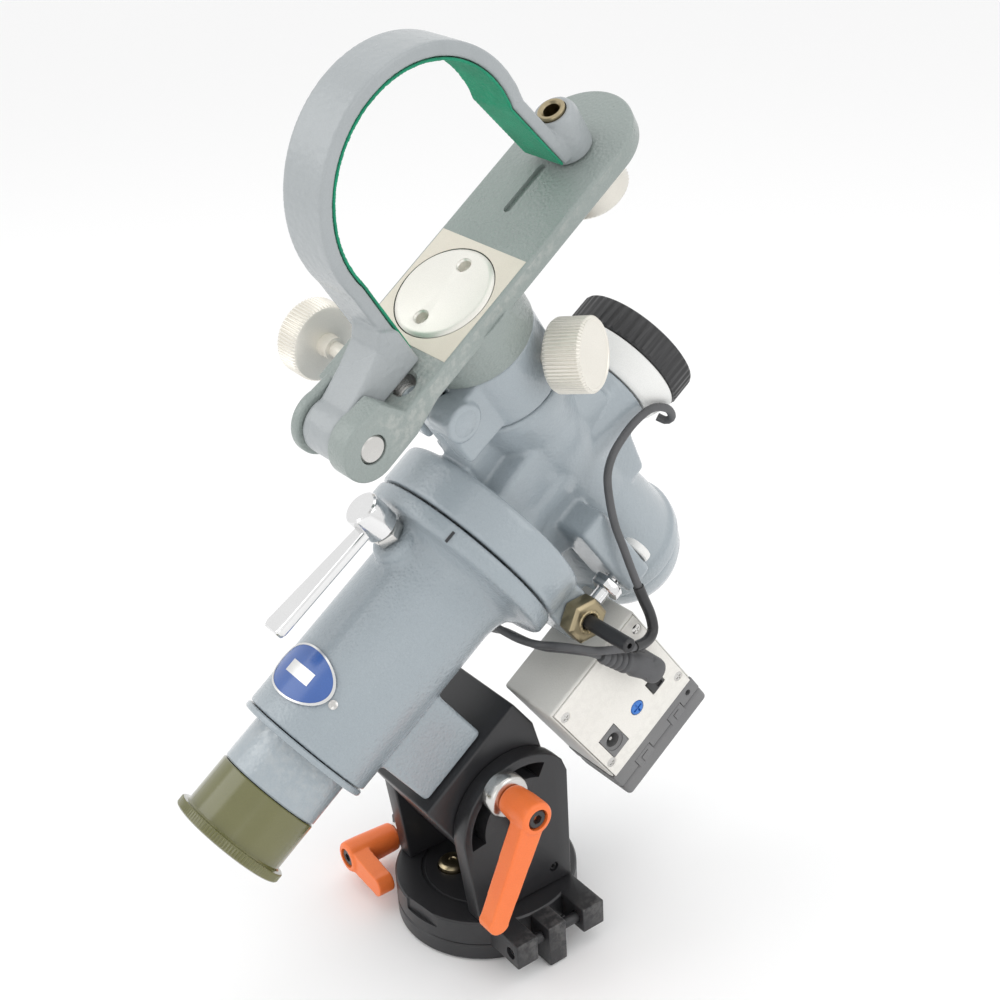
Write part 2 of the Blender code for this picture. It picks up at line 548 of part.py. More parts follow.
def saddle():
    """The saddle plate with its collar and hinge ears, and the disc that holds it on the shaft."""
    half = PLATE_HALF_WIDTH
    far = arc((PLATE_END - half, 0), half, -90, 90, 16)
    plate = slab("saddle_plate", [(-46, half), (-46, -half), *far], PLATE_BOTTOM, PLATE_TOP, DEC_AXIS, HAMMER)
    collar = ring("saddle_collar", 8, 22.5, RING_TOP + GAP, PLATE_BOTTOM + 2, DEC_AXIS, None, 44)
    join(plate, collar)
    for tag, low, high in (("south", 12.3, half), ("north", -7.0, -3.2)):
        ear = slab(f"hinge_ear_{tag}", [(-44, HINGE_HEIGHT - 11.6), (-30, PLATE_BOTTOM + 0.1), (-30, PLATE_TOP - 0.1),
                                        (-42, PLATE_TOP - 0.1), (-47, HINGE_HEIGHT + 10.2),
                                        *arc((-HINGE_REACH, HINGE_HEIGHT), 11.6, 70, 270, 14)], low, high, DEC_AXIS, None)
        ear.matrix_basis = Matrix(((1, 0, 0, 0), (0, 0, -1, 0), (0, 1, 0, 0), (0, 0, 0, 1)))
        join(plate, ear)
    cut(
        plate,
        rod("nut_recess", 18.7, PLATE_TOP - 4.5, PLATE_TOP + 5, DEC_AXIS, None, 44),
        rod("plate_bore", DEC_SHAFT_RADIUS + GAP, 60, PLATE_TOP + 5, DEC_AXIS, None, 36),
        rod("camera_hole", 4.4, 80, 110, DEC_AXIS, None, 24, place=(-34.4, -11.7, 0)),
        rod("hinge_bore", 5.2, -30, 30, DEC_AXIS, None, 24, place=(-HINGE_REACH, 0, HINGE_HEIGHT), axis=(0, 1, 0)),
        rod("clamp_slot", 4.0, 80, 110, DEC_AXIS, None, 24, place=(CLAMP_REACH, CLAMP_SIDE, 0)),
        slab("plate_groove", [(36, 0.8), (58, 0.8), (58, 3.8), (36, 3.8)],
             PLATE_TOP - 2, PLATE_TOP + 2, DEC_AXIS, None),
    )
    nut = turned("dec_shaft_nut", [(0, PLATE_TOP + 1.2), (17.0, PLATE_TOP + 1.2), (18.3, PLATE_TOP),
                                   (18.3, PLATE_TOP - 4.2), (0, PLATE_TOP - 4.2)], DEC_AXIS, ALUMINIUM, 44)
    for side in (-1, 1):
        cut(nut, rod(f"spanner_hole_{side}", 2.4, PLATE_TOP - 2, PLATE_TOP + 4, DEC_AXIS, None, 16,
                     place=(11.5 * side, 0, 0)))


def strap_profile(inner, outer, foot):
    """The strap seen along the tube: a half ring with two legs, as one closed outline."""
    centre = (STRAP_CENTRE, STRAP_HEIGHT)
    outside = arc(centre, outer, -8, 188, 28)
    inside = arc(centre, inner, 188, -8, 28)
    right = STRAP_CENTRE + inner + 6.8
    left = STRAP_CENTRE - inner
    return [(right + outer - inner, foot), *outside, (left - (outer - inner), foot), (left, foot), *inside,
            (right, foot)]


def strap():
    """The strap on its hinge pin, its felt, and the bolt and nut that close it."""
    turn = Matrix(((1, 0, 0, HINGE_REACH * MM), (0, 0, -1, 0), (0, 1, 0, -HINGE_HEIGHT * MM), (0, 0, 0, 1)))
    body = slab("tube_strap", strap_profile(STRAP_INNER + 1.3, STRAP_OUTER, PLATE_TOP + 3), -STRAP_HALF_WIDTH,
                STRAP_HALF_WIDTH, STRAP, HAMMER)
    body.matrix_basis = turn
    foot_low = PLATE_TOP + 0.6
    foot = slab("strap_foot", [(-24.6, foot_low), (-24.6, 112), (-30, 118), (-34, 113), (-44, 109),
                               (-HINGE_REACH + 4, HINGE_HEIGHT + 9.2),
                               *arc((-HINGE_REACH, HINGE_HEIGHT), 10, 80, 290, 14), (-50, foot_low)], -2.9, 12.0, STRAP,
                None)
    foot.matrix_basis = turn
    boss = turned("strap_boss", [(0, 114), (7.0, 114), (8, 112), (8.2, foot_low), (0, foot_low)], STRAP, None, 32,
                  place=(CLAMP_REACH + HINGE_REACH, CLAMP_SIDE, -HINGE_HEIGHT))
    join(body, foot, boss)
    lining = (HINGE_REACH, 0, -HINGE_HEIGHT)
    cut(
        body,
        rod("strap_hinge_bore", 5.2, -30, 30, STRAP, None, 24, axis=(0, 1, 0)),
        rod("strap_insert_bore", 5.2, 80, 130, STRAP, None, 24, place=(CLAMP_REACH + lining[0], CLAMP_SIDE, lining[2])),
    )
    felt = slab("felt_lining", strap_profile(STRAP_INNER, STRAP_INNER + 1.0, PLATE_TOP + 4), -STRAP_HALF_WIDTH + 0.4,
                STRAP_HALF_WIDTH - 0.4, STRAP, FELT)
    felt.matrix_basis = turn
    pin = rod("hinge_pin", 4.9, -8.5, PLATE_HALF_WIDTH - 0.2, DEC_AXIS, STEEL, 28,
              place=(-HINGE_REACH, 0, HINGE_HEIGHT), axis=(0, -1, 0))
    join(pin, rod("hinge_pin_head", 8, -10.5, -7 - GAP, DEC_AXIS, None, 28, place=(-HINGE_REACH, 0, HINGE_HEIGHT),
                  axis=(0, -1, 0)))
    ring("strap_insert", 2.9, 4.9, 100, 115.3, STRAP, BRASS, 28,
         place=(CLAMP_REACH + lining[0], CLAMP_SIDE, lining[2]))
    bolt = rod("strap_nut", 2.6, 76, 99, STRAP_NUT, STEEL, 20, place=(0, 0, 0))
    join(bolt, turned("strap_nut_head", [(0, PLATE_BOTTOM - 1), (9, PLATE_BOTTOM - 1), (14, PLATE_BOTTOM - 4),
                                         (14, 76), (12.8, 74.8), (0, 74.8)], STRAP_NUT, None, 36))


def motor_box():
    """The drive box beside the housing: shell, face plate, end block, connectors, motor and gears."""
    face = BOX_FACE
    back = face - BOX_DEPTH
    shell = box("motor_box", (back, BOX_TOP, BOX_START), (face, BOX_BOTTOM - GAP, BOX_END), HEAD_PLAIN, CREAM)
    wall = 2.2
    cut(shell, box("motor_box_room", (back + wall, BOX_TOP + wall, BOX_START + wall),
                   (face + 5, BOX_BOTTOM + 5, BOX_END - wall), HEAD_PLAIN, None))
    cut(shell, box("motor_box_seat", (face - 1.3, BOX_TOP + 1, BOX_START + 0.8), (face + 5, BOX_BOTTOM + 5, BOX_END - 0.8),
                   HEAD_PLAIN, None))
    panel = box("motor_panel", (face - 1.0, BOX_TOP + 1.3, BOX_START + 1.1),
                (face + 0.6, BOX_BOTTOM - GAP, BOX_END - 1.1), HEAD_PLAIN, CREAM)
    middle = (BOX_BOTTOM + BOX_FOOT) / 2
    cover = box("motor_cover", (back, BOX_BOTTOM, BOX_START - 0.2), (face, middle - GAP / 2, BOX_END + 0.2), HEAD_PLAIN,
                DARK_PLASTIC)
    cut(cover, box("motor_cover_room", (back + wall, BOX_BOTTOM - 1, BOX_START + wall),
                   (face - wall, middle - wall, BOX_END - wall), HEAD_PLAIN, None))
    foot = box("motor_foot", (back, middle + GAP / 2, BOX_START - 0.2), (face, BOX_FOOT, BOX_END + 0.2), HEAD_PLAIN,
               DARK_PLASTIC)
    jack_at = JACK_AT
    cut(panel, box("jack_window", (0, jack_at[0] - 7, jack_at[1] - 5), (60, jack_at[0] + 7, jack_at[1] + 5), HEAD_PLAIN,
                   None))
    jack = box("power_jack", (face - 9, jack_at[0] - 6.7, jack_at[1] - 4.7), (face + 1.0, jack_at[0] + 6.7,
                                                                             jack_at[1] + 4.7), HEAD_PLAIN, BLACK)
    cut(jack, rod("power_jack_bore", 3.2, face - 7, face + 5, HEAD_PLAIN, None, 24, place=(0, jack_at[0], jack_at[1]),
                  axis=(1, 0, 0)))
    cut(panel, rod("trimmer_window", 3.5, face - 4, face + 5, TRIMMER, None, 24, axis=(1, 0, 0)))
    trimmer = rod("speed_trimmer", 3.1, face - 4, face + 0.9, TRIMMER, BLUE, 24, axis=(1, 0, 0))
    cut(trimmer, box("trimmer_slot", (face + 0.3, -2.2, -0.4), (face + 2, 2.2, 0.4), TRIMMER, None))
    switch_at = SWITCH_AT
    cut(panel, box("switch_window", (face - 3, switch_at[0] - 4, switch_at[1] - 4), (face + 4, switch_at[0] + 4,
                                                                                    switch_at[1] + 4), HEAD_PLAIN, None))
    box("drive_switch", (face - 3, switch_at[0] - 3.6, switch_at[1] - 3.6), (face + 1.2, switch_at[0] + 3.6,
                                                                            switch_at[1] + 3.6), SWITCH, BLACK)
    plug = rod("cable_plug", 5.4, face + 0.9, face + 12.6, HEAD_PLAIN, BLACK, 24, place=(0, *PLUG_AT), axis=(1, 0, 0))
    join(plug, turned("cable_plug_arm", [(0, PLUG_REACH), (2.6, PLUG_REACH), (3.6, 14), (5.0, 9), (5.0, 0), (0, 0)],
                      HEAD_PLAIN, None, 20, place=(PLUG_DEPTH, *PLUG_AT), axis=PLUG_AXIS))

    motor = rod("drive_motor", 10.5, -20, 2, HEAD_PLAIN, STEEL, 28, place=(19, 75, 0))
    join(motor, rod("motor_boss", 4, 1.5, 5, HEAD_PLAIN, None, 16, place=(19, 75, 0)))
    rod("motor_pinion", 4.5, 5.6, 10.5, MOTOR_PINION, BRASS, 16)


def smooth_route(route, step):
    """Points every so many mm along the smooth curve through a route's own points."""
    ends = [2 * Vector(route[0]) - Vector(route[1]), *map(Vector, route), 2 * Vector(route[-1]) - Vector(route[-2])]
    fine = []
    for a, b, c, d in zip(ends, ends[1:], ends[2:], ends[3:]):
        for part in range(12):
            t = part / 12
            fine.append(0.5 * (2 * b + (c - a) * t + (2 * a - 5 * b + 4 * c - d) * t * t
                               + (3 * b - a - 3 * c + d) * t * t * t))
    fine.append(ends[-2])
    lengths = [0.0]
    for first, second in zip(fine, fine[1:]):
        lengths.append(lengths[-1] + (second - first).length)
    count = round(lengths[-1] / step)
    points = []
    place = 0
    for number in range(count + 1):
        wanted = lengths[-1] * number / count
        while place < len(fine) - 2 and lengths[place + 1] < wanted:
            place += 1
        share = (wanted - lengths[place]) / (lengths[place + 1] - lengths[place])
        points.append(fine[place].lerp(fine[place + 1], share))
    return points


def cable():
    """The lamp lead from the lit ring to the plug on the drive box, with a hidden loop under the flange."""
    points = smooth_route(CABLE_ROUTE, CABLE_STEP)
    curve = bpy.data.curves.new("lamp_cable", "CURVE")
    curve.dimensions = "3D"
    curve.bevel_depth = CABLE_RADIUS * MM
    curve.bevel_resolution = 2
    curve.use_fill_caps = True
    spline = curve.splines.new("POLY")
    spline.points.add(len(points) - 1)
    for knot, point in zip(spline.points, points):
        knot.co = (*(point * MM), 1)
    curve.materials.append(material_of(DARK_PLASTIC))
    item = bpy.data.objects.new("lamp_cable", curve)
    PARTS.objects.link(item)
    item.parent = HEAD_PLAIN


def worm():
    """The worm in its housing, its end bearing, and the screw that sets its mesh."""
    screw = rod("worm_shaft", 2.9, -15.5, 61, WORM, STEEL, 20, axis=(1, 0, 0))
    join(screw, rod("worm_thread", 5.6, -11, 11, WORM, None, 24, axis=(1, 0, 0)))
    at = (0, WORM_DISTANCE, WORM_STATION)
    cap = rod("worm_bearing_cap", 9.2, 30.5, 38, HEAD_PLAIN, BRASS, 6, place=at, axis=(1, 0, 0))
    join(cap, rod("worm_bearing_neck", 6.3, 18, 32, HEAD_PLAIN, None, 24, place=at, axis=(1, 0, 0)))
    cut(cap, rod("worm_bearing_bore", 3.2, 10, 50, HEAD_PLAIN, None, 20, place=at, axis=(1, 0, 0)))
    adjuster = rod("mesh_adjuster", 3.0, 20, 44.6, HEAD_PLAIN, STEEL, 16, place=ADJUSTER)
    join(adjuster, turned("mesh_adjuster_head", [(0, 48), (4.5, 48), (6, 46.5), (6, 44 + GAP), (0, 44 + GAP)],
                          HEAD_PLAIN, None, 24, place=ADJUSTER))
    join(adjuster, rod("mesh_adjuster_nut", 6.5, 25, 29.7, HEAD_PLAIN, None, 6, place=ADJUSTER))


def port():
    """The lit ring on the polar-scope port, and its knurled cap."""
    turned("illuminator_ring", [(25.5, 97), (22, 86.8), (21, 85.8), (11.5, 85.8), (11.5, 97), (25.5, 97)], HEAD,
           ALUMINIUM, 44)
    turned("port_cap", [(0, 109), (24.5, 109), (26, 107.5), (26, 98.3), (25, 97.3), (0, 97.3)], PORT_CAP, BLACK, 40)


clear_scene()
PARTS = make_collection(NAME, False)
CUTTERS = make_collection("cutters", True)

BASE = frame("base_frame", None)
AZIMUTH = frame("azimuth_frame", BASE)
AZIMUTH_SCREWS = {tag: frame(f"azimuth_screw_frame_{tag}", AZIMUTH) for tag in ("south", "north")}
AZIMUTH_LEVER = frame("azimuth_lever_frame", AZIMUTH, (-46, 0, 13))
TILT = frame("tilt_frame", AZIMUTH, (0, 0, TILT_HEIGHT))
stud_angle = math.radians(TILT_CLAMP_ANGLE)
TILT_LEVER = frame("tilt_lever_frame", TILT, (0, TILT_SLOT_RADIUS * math.cos(stud_angle),
                                              TILT_SLOT_RADIUS * math.sin(stud_angle)))
POLAR = frame("polar_frame", TILT, (0, 0, POLAR_HEIGHT - TILT_HEIGHT), polar_turn())
POLAR_CAP = frame("polar_cap_frame", POLAR)
RA_LEVER = frame("ra_lever_frame", POLAR, (0, 0, CLAMP_STATION))
HEAD_PLAIN = frame("head_plain_frame", POLAR)
HEAD = frame("head_frame", POLAR, (0, 0, 0), Matrix.Rotation(math.radians(HEAD_TURN), 3, "Z"))
PORT_CAP = frame("port_cap_frame", HEAD)
WORM = frame("worm_frame", HEAD_PLAIN, (0, WORM_DISTANCE, WORM_STATION))
MOTOR_PINION = frame("motor_pinion_frame", HEAD_PLAIN, (19, 75, 0))
TRIMMER = frame("trimmer_frame", HEAD_PLAIN, (0, *TRIMMER_AT))
SWITCH = frame("switch_frame", HEAD_PLAIN)
HEAD_TO_DEC = Matrix(((0, -1, 0), (0, 0, -1), (1, 0, 0)))
DEC_BASE = frame("dec_base_frame", HEAD, (0, 0, DEC_STATION), HEAD_TO_DEC)
TANGENT_ARM = frame("tangent_arm_frame", DEC_BASE)
DEC_AXIS = frame("dec_frame", TANGENT_ARM, (0, 0, 0), Matrix.Rotation(math.radians(1.5), 3, "Z"))
DEC_KNOB = frame("dec_knob_frame", TANGENT_ARM, (0, 0, (RING_BOTTOM + RING_TOP) / 2))
TANGENT_KNOB = frame("tangent_knob_frame", TANGENT_ARM, (-TANGENT_REACH, 0, TANGENT_HEIGHT))
STRAP = frame("strap_frame", DEC_AXIS, (-HINGE_REACH, 0, HINGE_HEIGHT))
STRAP_NUT = frame("strap_nut_frame", DEC_AXIS, (CLAMP_REACH, CLAMP_SIDE, 0))

base_and_azimuth()
altitude()
polar_housing()
polar_shaft()
head_casting()
worm()
port()
declination()
saddle()
strap()
motor_box()
cable()

for item in PARTS.objects:
    if item.type == "MESH":
        item.data.shade_smooth()
        item.data.set_sharp_from_angle(angle=math.radians(35))
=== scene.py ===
import math

import bpy
from mathutils import Matrix, Vector, noise


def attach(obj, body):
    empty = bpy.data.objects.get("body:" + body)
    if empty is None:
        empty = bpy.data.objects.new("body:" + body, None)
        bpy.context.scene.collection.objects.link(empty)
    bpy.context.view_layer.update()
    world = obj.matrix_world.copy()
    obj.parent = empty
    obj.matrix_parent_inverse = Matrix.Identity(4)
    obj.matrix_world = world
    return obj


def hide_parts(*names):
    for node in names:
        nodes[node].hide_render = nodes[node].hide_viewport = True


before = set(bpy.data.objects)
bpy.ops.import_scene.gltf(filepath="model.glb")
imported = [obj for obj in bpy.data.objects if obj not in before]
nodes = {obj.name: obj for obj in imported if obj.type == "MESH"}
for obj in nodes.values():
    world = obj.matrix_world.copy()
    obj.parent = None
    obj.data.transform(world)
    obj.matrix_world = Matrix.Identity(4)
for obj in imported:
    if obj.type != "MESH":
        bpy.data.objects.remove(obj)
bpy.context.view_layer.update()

done = []  # CAD nodes that a finished piece stands for
finishes = {}

# Where the mount's axes are, in degrees and mm
mount = {"latitude": 35.65, "polarHeight": 164.8, "headTurn": 10.7, "decStation": 53.3, "saddleTurn": 1.5,
         "tiltHeight": 58.0, "tiltClampAngle": 118.0, "clampBearing": 92.5, "clampStation": -14.6,
         "knobBearing": 27.0, "plateBearing": 83.0}


def turnAbout(axis, degrees):
    return Matrix.Rotation(math.radians(degrees), 4, axis)


toMetres = Matrix.Diagonal((0.001, 0.001, 0.001, 1))
worldAt = toMetres
polarAt = toMetres @ Matrix.Translation((0, 0, mount["polarHeight"])) @ turnAbout("X", mount["latitude"] - 90)
headAt = polarAt @ turnAbout("Z", mount["headTurn"])
headToDec = Matrix(((0, -1, 0, 0), (0, 0, -1, 0), (1, 0, 0, 0), (0, 0, 0, 1)))
decAt = headAt @ Matrix.Translation((0, 0, mount["decStation"])) @ headToDec
saddleAt = decAt @ turnAbout("Z", mount["saddleTurn"])


# ---- hands: small helpers that drive the modelling tools; everything is made in mm and placed at the end

def onlyPick(*objects):
    if bpy.context.mode != "OBJECT":
        bpy.ops.object.mode_set(mode="OBJECT")
    bpy.ops.object.select_all(action="DESELECT")
    for item in objects:
        item.select_set(True)
    if objects:
        bpy.context.view_layer.objects.active = objects[0]


def editAll(item):
    onlyPick(item)
    bpy.ops.object.mode_set(mode="EDIT")
    bpy.ops.mesh.select_mode(type="VERT")
    bpy.ops.mesh.select_all(action="SELECT")


def faceOutwards():
    # in edit mode: turns every face outwards, then leaves
    bpy.ops.mesh.select_all(action="SELECT")
    bpy.ops.mesh.normals_make_consistent(inside=False)
    bpy.ops.object.mode_set(mode="OBJECT")


def pickPoints(item, wanted):
    onlyPick(item)
    bpy.ops.object.mode_set(mode="EDIT")
    bpy.ops.mesh.select_mode(type="VERT")
    bpy.ops.mesh.select_all(action="DESELECT")
    bpy.ops.object.mode_set(mode="OBJECT")
    for point in item.data.vertices:
        point.select = wanted(point.co)
    bpy.ops.object.mode_set(mode="EDIT")


def drawLine(points, closed=False):
    onlyPick()
    bpy.ops.mesh.primitive_plane_add(size=1, location=(0, 0, 0))
    item = bpy.context.object
    bpy.ops.object.mode_set(mode="EDIT")
    bpy.ops.mesh.select_all(action="SELECT")
    bpy.ops.mesh.merge(type="CENTER")
    bpy.ops.transform.translate(value=points[0])
    for first, second in zip(points, points[1:]):
        step = [b - a for a, b in zip(first, second)]
        bpy.ops.mesh.extrude_region_move(TRANSFORM_OT_translate={"value": step})
    if closed:
        bpy.ops.mesh.select_all(action="SELECT")
        bpy.ops.mesh.edge_face_add()
    return item


def laid(item, place=(0, 0, 0), axis=None):
    turn = Vector(axis).to_track_quat("Z", "Y").to_matrix().to_4x4() if axis is not None else Matrix()
    onlyPick(item)
    item.matrix_world = Matrix.Translation(place) @ turn
    bpy.ops.object.transform_apply(location=True, rotation=True, scale=True)
    return item


def useModifier(item, kind, **values):
    onlyPick(item)
    change = item.modifiers.new("step", kind)
    for key, value in values.items():
        setattr(change, key, value)
    bpy.ops.object.modifier_apply(modifier=change.name)
    return item


def softened(item, width, segments=3, angle=32):
    return useModifier(item, "BEVEL", width=width, segments=segments, limit_method="ANGLE",
                       angle_limit=math.radians(angle), use_clamp_overlap=True)


def turned(profile, place=(0, 0, 0), axis=None, steps=96, edge=0.0):
    # a lathe piece: (radius, height) down its outer side; an open line starts and ends on the axis
    ringShaped = profile[0] == profile[-1]
    line = profile[:-1] if ringShaped else profile
    item = drawLine([(r, 0, z) for r, z in line])
    if ringShaped:
        bpy.ops.mesh.select_all(action="SELECT")
        bpy.ops.mesh.edge_face_add()
        bpy.ops.mesh.delete(type="ONLY_FACE")
    bpy.ops.mesh.select_all(action="SELECT")
    bpy.ops.mesh.spin(steps=steps, angle=2 * math.pi, center=(0, 0, 0), axis=(0, 0, 1))
    bpy.ops.mesh.select_all(action="SELECT")
    bpy.ops.mesh.remove_doubles(threshold=0.0005)
    faceOutwards()
    if edge:
        softened(item, edge)
    return laid(item, place, axis)


def rod(radius, low, high, place=(0, 0, 0), axis=None, steps=64, edge=0.0):
    return turned([(0, high), (radius, high), (radius, low), (0, low)], place, axis, steps, edge)


def ring(inner, outer, low, high, place=(0, 0, 0), axis=None, steps=96, edge=0.0):
    return turned([(outer, high), (outer, low), (inner, low), (inner, high), (outer, high)], place, axis,
                  steps, edge)


def block(low, high, edge=0.0, segments=3):
    onlyPick()
    bpy.ops.mesh.primitive_cube_add(size=1, location=[(a + b) / 2 for a, b in zip(low, high)])
    item = bpy.context.object
    item.scale = [b - a for a, b in zip(low, high)]
    bpy.ops.object.transform_apply(location=True, rotation=True, scale=True)
    return softened(item, edge, segments) if edge else item


def sheetCut(outline, low, high, edge=0.0, segments=3):
    # a flat outline in XY, pulled up from one height to another
    item = drawLine([(x, y, low) for x, y in outline], closed=True)
    bpy.ops.mesh.select_all(action="SELECT")
    bpy.ops.mesh.extrude_region_move(TRANSFORM_OT_translate={"value": (0, 0, high - low)})
    faceOutwards()
    return softened(item, edge, segments) if edge else item


def moved(item, matrix):
    onlyPick(item)
    item.matrix_world = matrix
    bpy.ops.object.transform_apply(location=True, rotation=True, scale=True)
    if matrix.determinant() < 0:
        editAll(item)
        faceOutwards()
    return item


def withBoolean(item, others, operation):
    for other in others:
        useModifier(item, "BOOLEAN", object=other, operation=operation, solver="EXACT")
        bpy.data.objects.remove(other, do_unlink=True)
    return item


def cut(item, *others):
    return withBoolean(item, others, "DIFFERENCE")


def joined(item, *others):
    return withBoolean(item, others, "UNION")


def cast(parts, voxel, rounds=4):
    # overlapping shapes melted into one casting with soft inner corners
    onlyPick(*parts)
    bpy.ops.object.join()
    item = bpy.context.object
    useModifier(item, "REMESH", mode="VOXEL", voxel_size=voxel, adaptivity=0.0)
    return useModifier(item, "SMOOTH", factor=0.6, iterations=rounds)


def arc(centre, radius, start, end, count):
    points = []
    for step in range(count + 1):
        angle = math.radians(start + (end - start) * step / count)
        points.append((centre[0] + radius * math.cos(angle), centre[1] + radius * math.sin(angle)))
    return points


def ribbed(profile, ribs, low, high, depth, place=(0, 0, 0), axis=None, minRadius=0.0, columns=4):
    # a lathe piece whose rim carries straight ribs between two heights
    item = turned(profile, steps=ribs * columns)
    half = columns // 2

    def inRib(co):
        column = round(math.atan2(co.y, co.x) / (2 * math.pi) * ribs * columns)
        return low <= co.z <= high and math.hypot(co.x, co.y) > minRadius and column % columns < half

    radius = max(r for r, z in profile)
    pickPoints(item, inRib)
    bpy.ops.transform.resize(value=(1 - depth / radius, 1 - depth / radius, 1), center_override=(0, 0, 0))
    bpy.ops.object.mode_set(mode="OBJECT")
    return laid(item, place, axis)


def place(item, name, where, body, look, stands=(), smooth=38, slotName=None):
    onlyPick(item)
    item.name = name
    item.data.name = name
    item.matrix_world = where @ item.matrix_world
    bpy.ops.object.transform_apply(location=True, rotation=True, scale=True)
    item.data.materials.clear()
    item.data.materials.append(finishes[look])
    bpy.ops.object.shade_smooth_by_angle(angle=math.radians(smooth))
    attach(item, body)
    if stands:
        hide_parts(*stands)
        done.extend(stands)
    return item


def crossScrew(name, spot, axis, radius, where, body, sunk=0.4):
    # a small countersunk screw with a cross in its head
    head = turned([(0, 0.35), (radius * 0.55, 0.3), (radius, 0), (radius, -sunk), (0, -sunk)], steps=32)
    slot = radius * 0.62
    cut(head, block((-slot, -radius * 0.14, -0.02), (slot, radius * 0.14, 1)),
        block((-radius * 0.14, -slot, -0.02), (radius * 0.14, slot, 1)))
    laid(head, spot, axis)
    return place(head, name, where, body, "brightSteel")


print("hands ready")

# ---- camera, floor and soft studio light
view = {"lens": 50.06, "place": (0.3946, -0.2544, 0.4033), "azimuth": 55.36, "elevation": 24.85,
        "roll": -3.37}


def setCamera():
    azimuth, elevation, roll = (math.radians(view[key]) for key in ("azimuth", "elevation", "roll"))
    back = Vector((math.sin(azimuth) * math.cos(elevation), -math.cos(azimuth) * math.cos(elevation),
                   math.sin(elevation)))
    right = Vector((math.cos(azimuth), math.sin(azimuth), 0))
    up = back.cross(right)
    turnedRight = math.cos(roll) * right + math.sin(roll) * up
    turnedUp = -math.sin(roll) * right + math.cos(roll) * up
    camera = bpy.data.objects.new("studioCamera", bpy.data.cameras.new("studioCamera"))
    bpy.context.scene.collection.objects.link(camera)
    camera.matrix_world = Matrix.Translation(view["place"]) @ Matrix((turnedRight, turnedUp,
                                                                      back)).transposed().to_4x4()
    camera.data.lens = view["lens"]
    camera.data.sensor_width = 36
    camera.data.clip_start = 0.01
    bpy.context.scene.camera = camera


studio = {"sky": 1.0, "floor": (0.93, 0.93, 0.93),
          "lamps": [("keyLamp", (-0.55, -0.95, 1.0), 0.9, 3.6), ("sideLamp", (0.95, 0.35, 0.75), 0.7, 1.8),
                    ("frontLamp", (0.9, -0.9, 0.35), 0.6, 0.8), ("topLamp", (0.0, 0.2, 1.4), 0.9, 1.6)]}


def setStudio():
    onlyPick()
    bpy.ops.mesh.primitive_plane_add(size=16, location=(0, 0, -0.0005))
    floor = bpy.context.object
    floor.name = "studioFloor"
    material = bpy.data.materials.new("studioFloor")
    material.use_nodes = True
    shader = material.node_tree.nodes["Principled BSDF"]
    shader.inputs["Base Color"].default_value = (*studio["floor"], 1)
    shader.inputs["Roughness"].default_value = 0.9
    floor.data.materials.append(material)
    world = bpy.data.worlds.new("studioSky")
    world.use_nodes = True
    world.node_tree.nodes["Background"].inputs["Color"].default_value = (1, 1, 1, 1)
    world.node_tree.nodes["Background"].inputs["Strength"].default_value = studio["sky"]
    bpy.context.scene.world = world
    middle = Vector((0.0, 0.0, 0.17))
    for name, spot, size, power in studio["lamps"]:
        lamp = bpy.data.lights.new(name, "AREA")
        lamp.size = size
        lamp.energy = power
        item = bpy.data.objects.new(name, lamp)
        bpy.context.scene.collection.objects.link(item)
        item.location = spot
        item.rotation_euler = (middle - Vector(spot)).to_track_quat("-Z", "Y").to_euler()
    bpy.context.scene.view_settings.view_transform = "Standard"


setCamera()
setStudio()
print("camera and studio ready")


# ---- finishes: shared node groups first
def newGroup(name, inputs, outputs):
    group = bpy.data.node_groups.new(name, "ShaderNodeTree")
    for label, kind, value in inputs:
        socket = group.interface.new_socket(name=label, in_out="INPUT", socket_type=kind)
        if value is not None:
            socket.default_value = value
    for label, kind in outputs:
        group.interface.new_socket(name=label, in_out="OUTPUT", socket_type=kind)
    return group, group.nodes.new("NodeGroupInput"), group.nodes.new("NodeGroupOutput")


def mathNode(tree, operation, first, second=None, third=None):
    item = tree.nodes.new("ShaderNodeMath")
    item.operation = operation
    for socket, value in zip(item.inputs, (first, second, third)):
        if value is None:
            continue
        if hasattr(value, "is_output"):
            tree.links.new(value, socket)
        else:
            socket.default_value = value
    return item.outputs[0]


def noiseNode(tree, vector, scale, detail=3.0, roughness=0.6):
    item = tree.nodes.new("ShaderNodeTexNoise")
    tree.links.new(vector, item.inputs["Vector"])
    for key, value in (("Scale", scale), ("Detail", detail), ("Roughness", roughness)):
        if hasattr(value, "is_output"):
            tree.links.new(value, item.inputs[key])
        else:
            item.inputs[key].default_value = value
    return item.outputs["Fac"]


def ranged(tree, value, fromLow, fromHigh, toLow, toHigh):
    item = tree.nodes.new("ShaderNodeMapRange")
    for key, entry in (("Value", value), ("From Min", fromLow), ("From Max", fromHigh), ("To Min", toLow),
                       ("To Max", toHigh)):
        if hasattr(entry, "is_output"):
            tree.links.new(entry, item.inputs[key])
        else:
            item.inputs[key].default_value = entry
    return item.outputs[0]


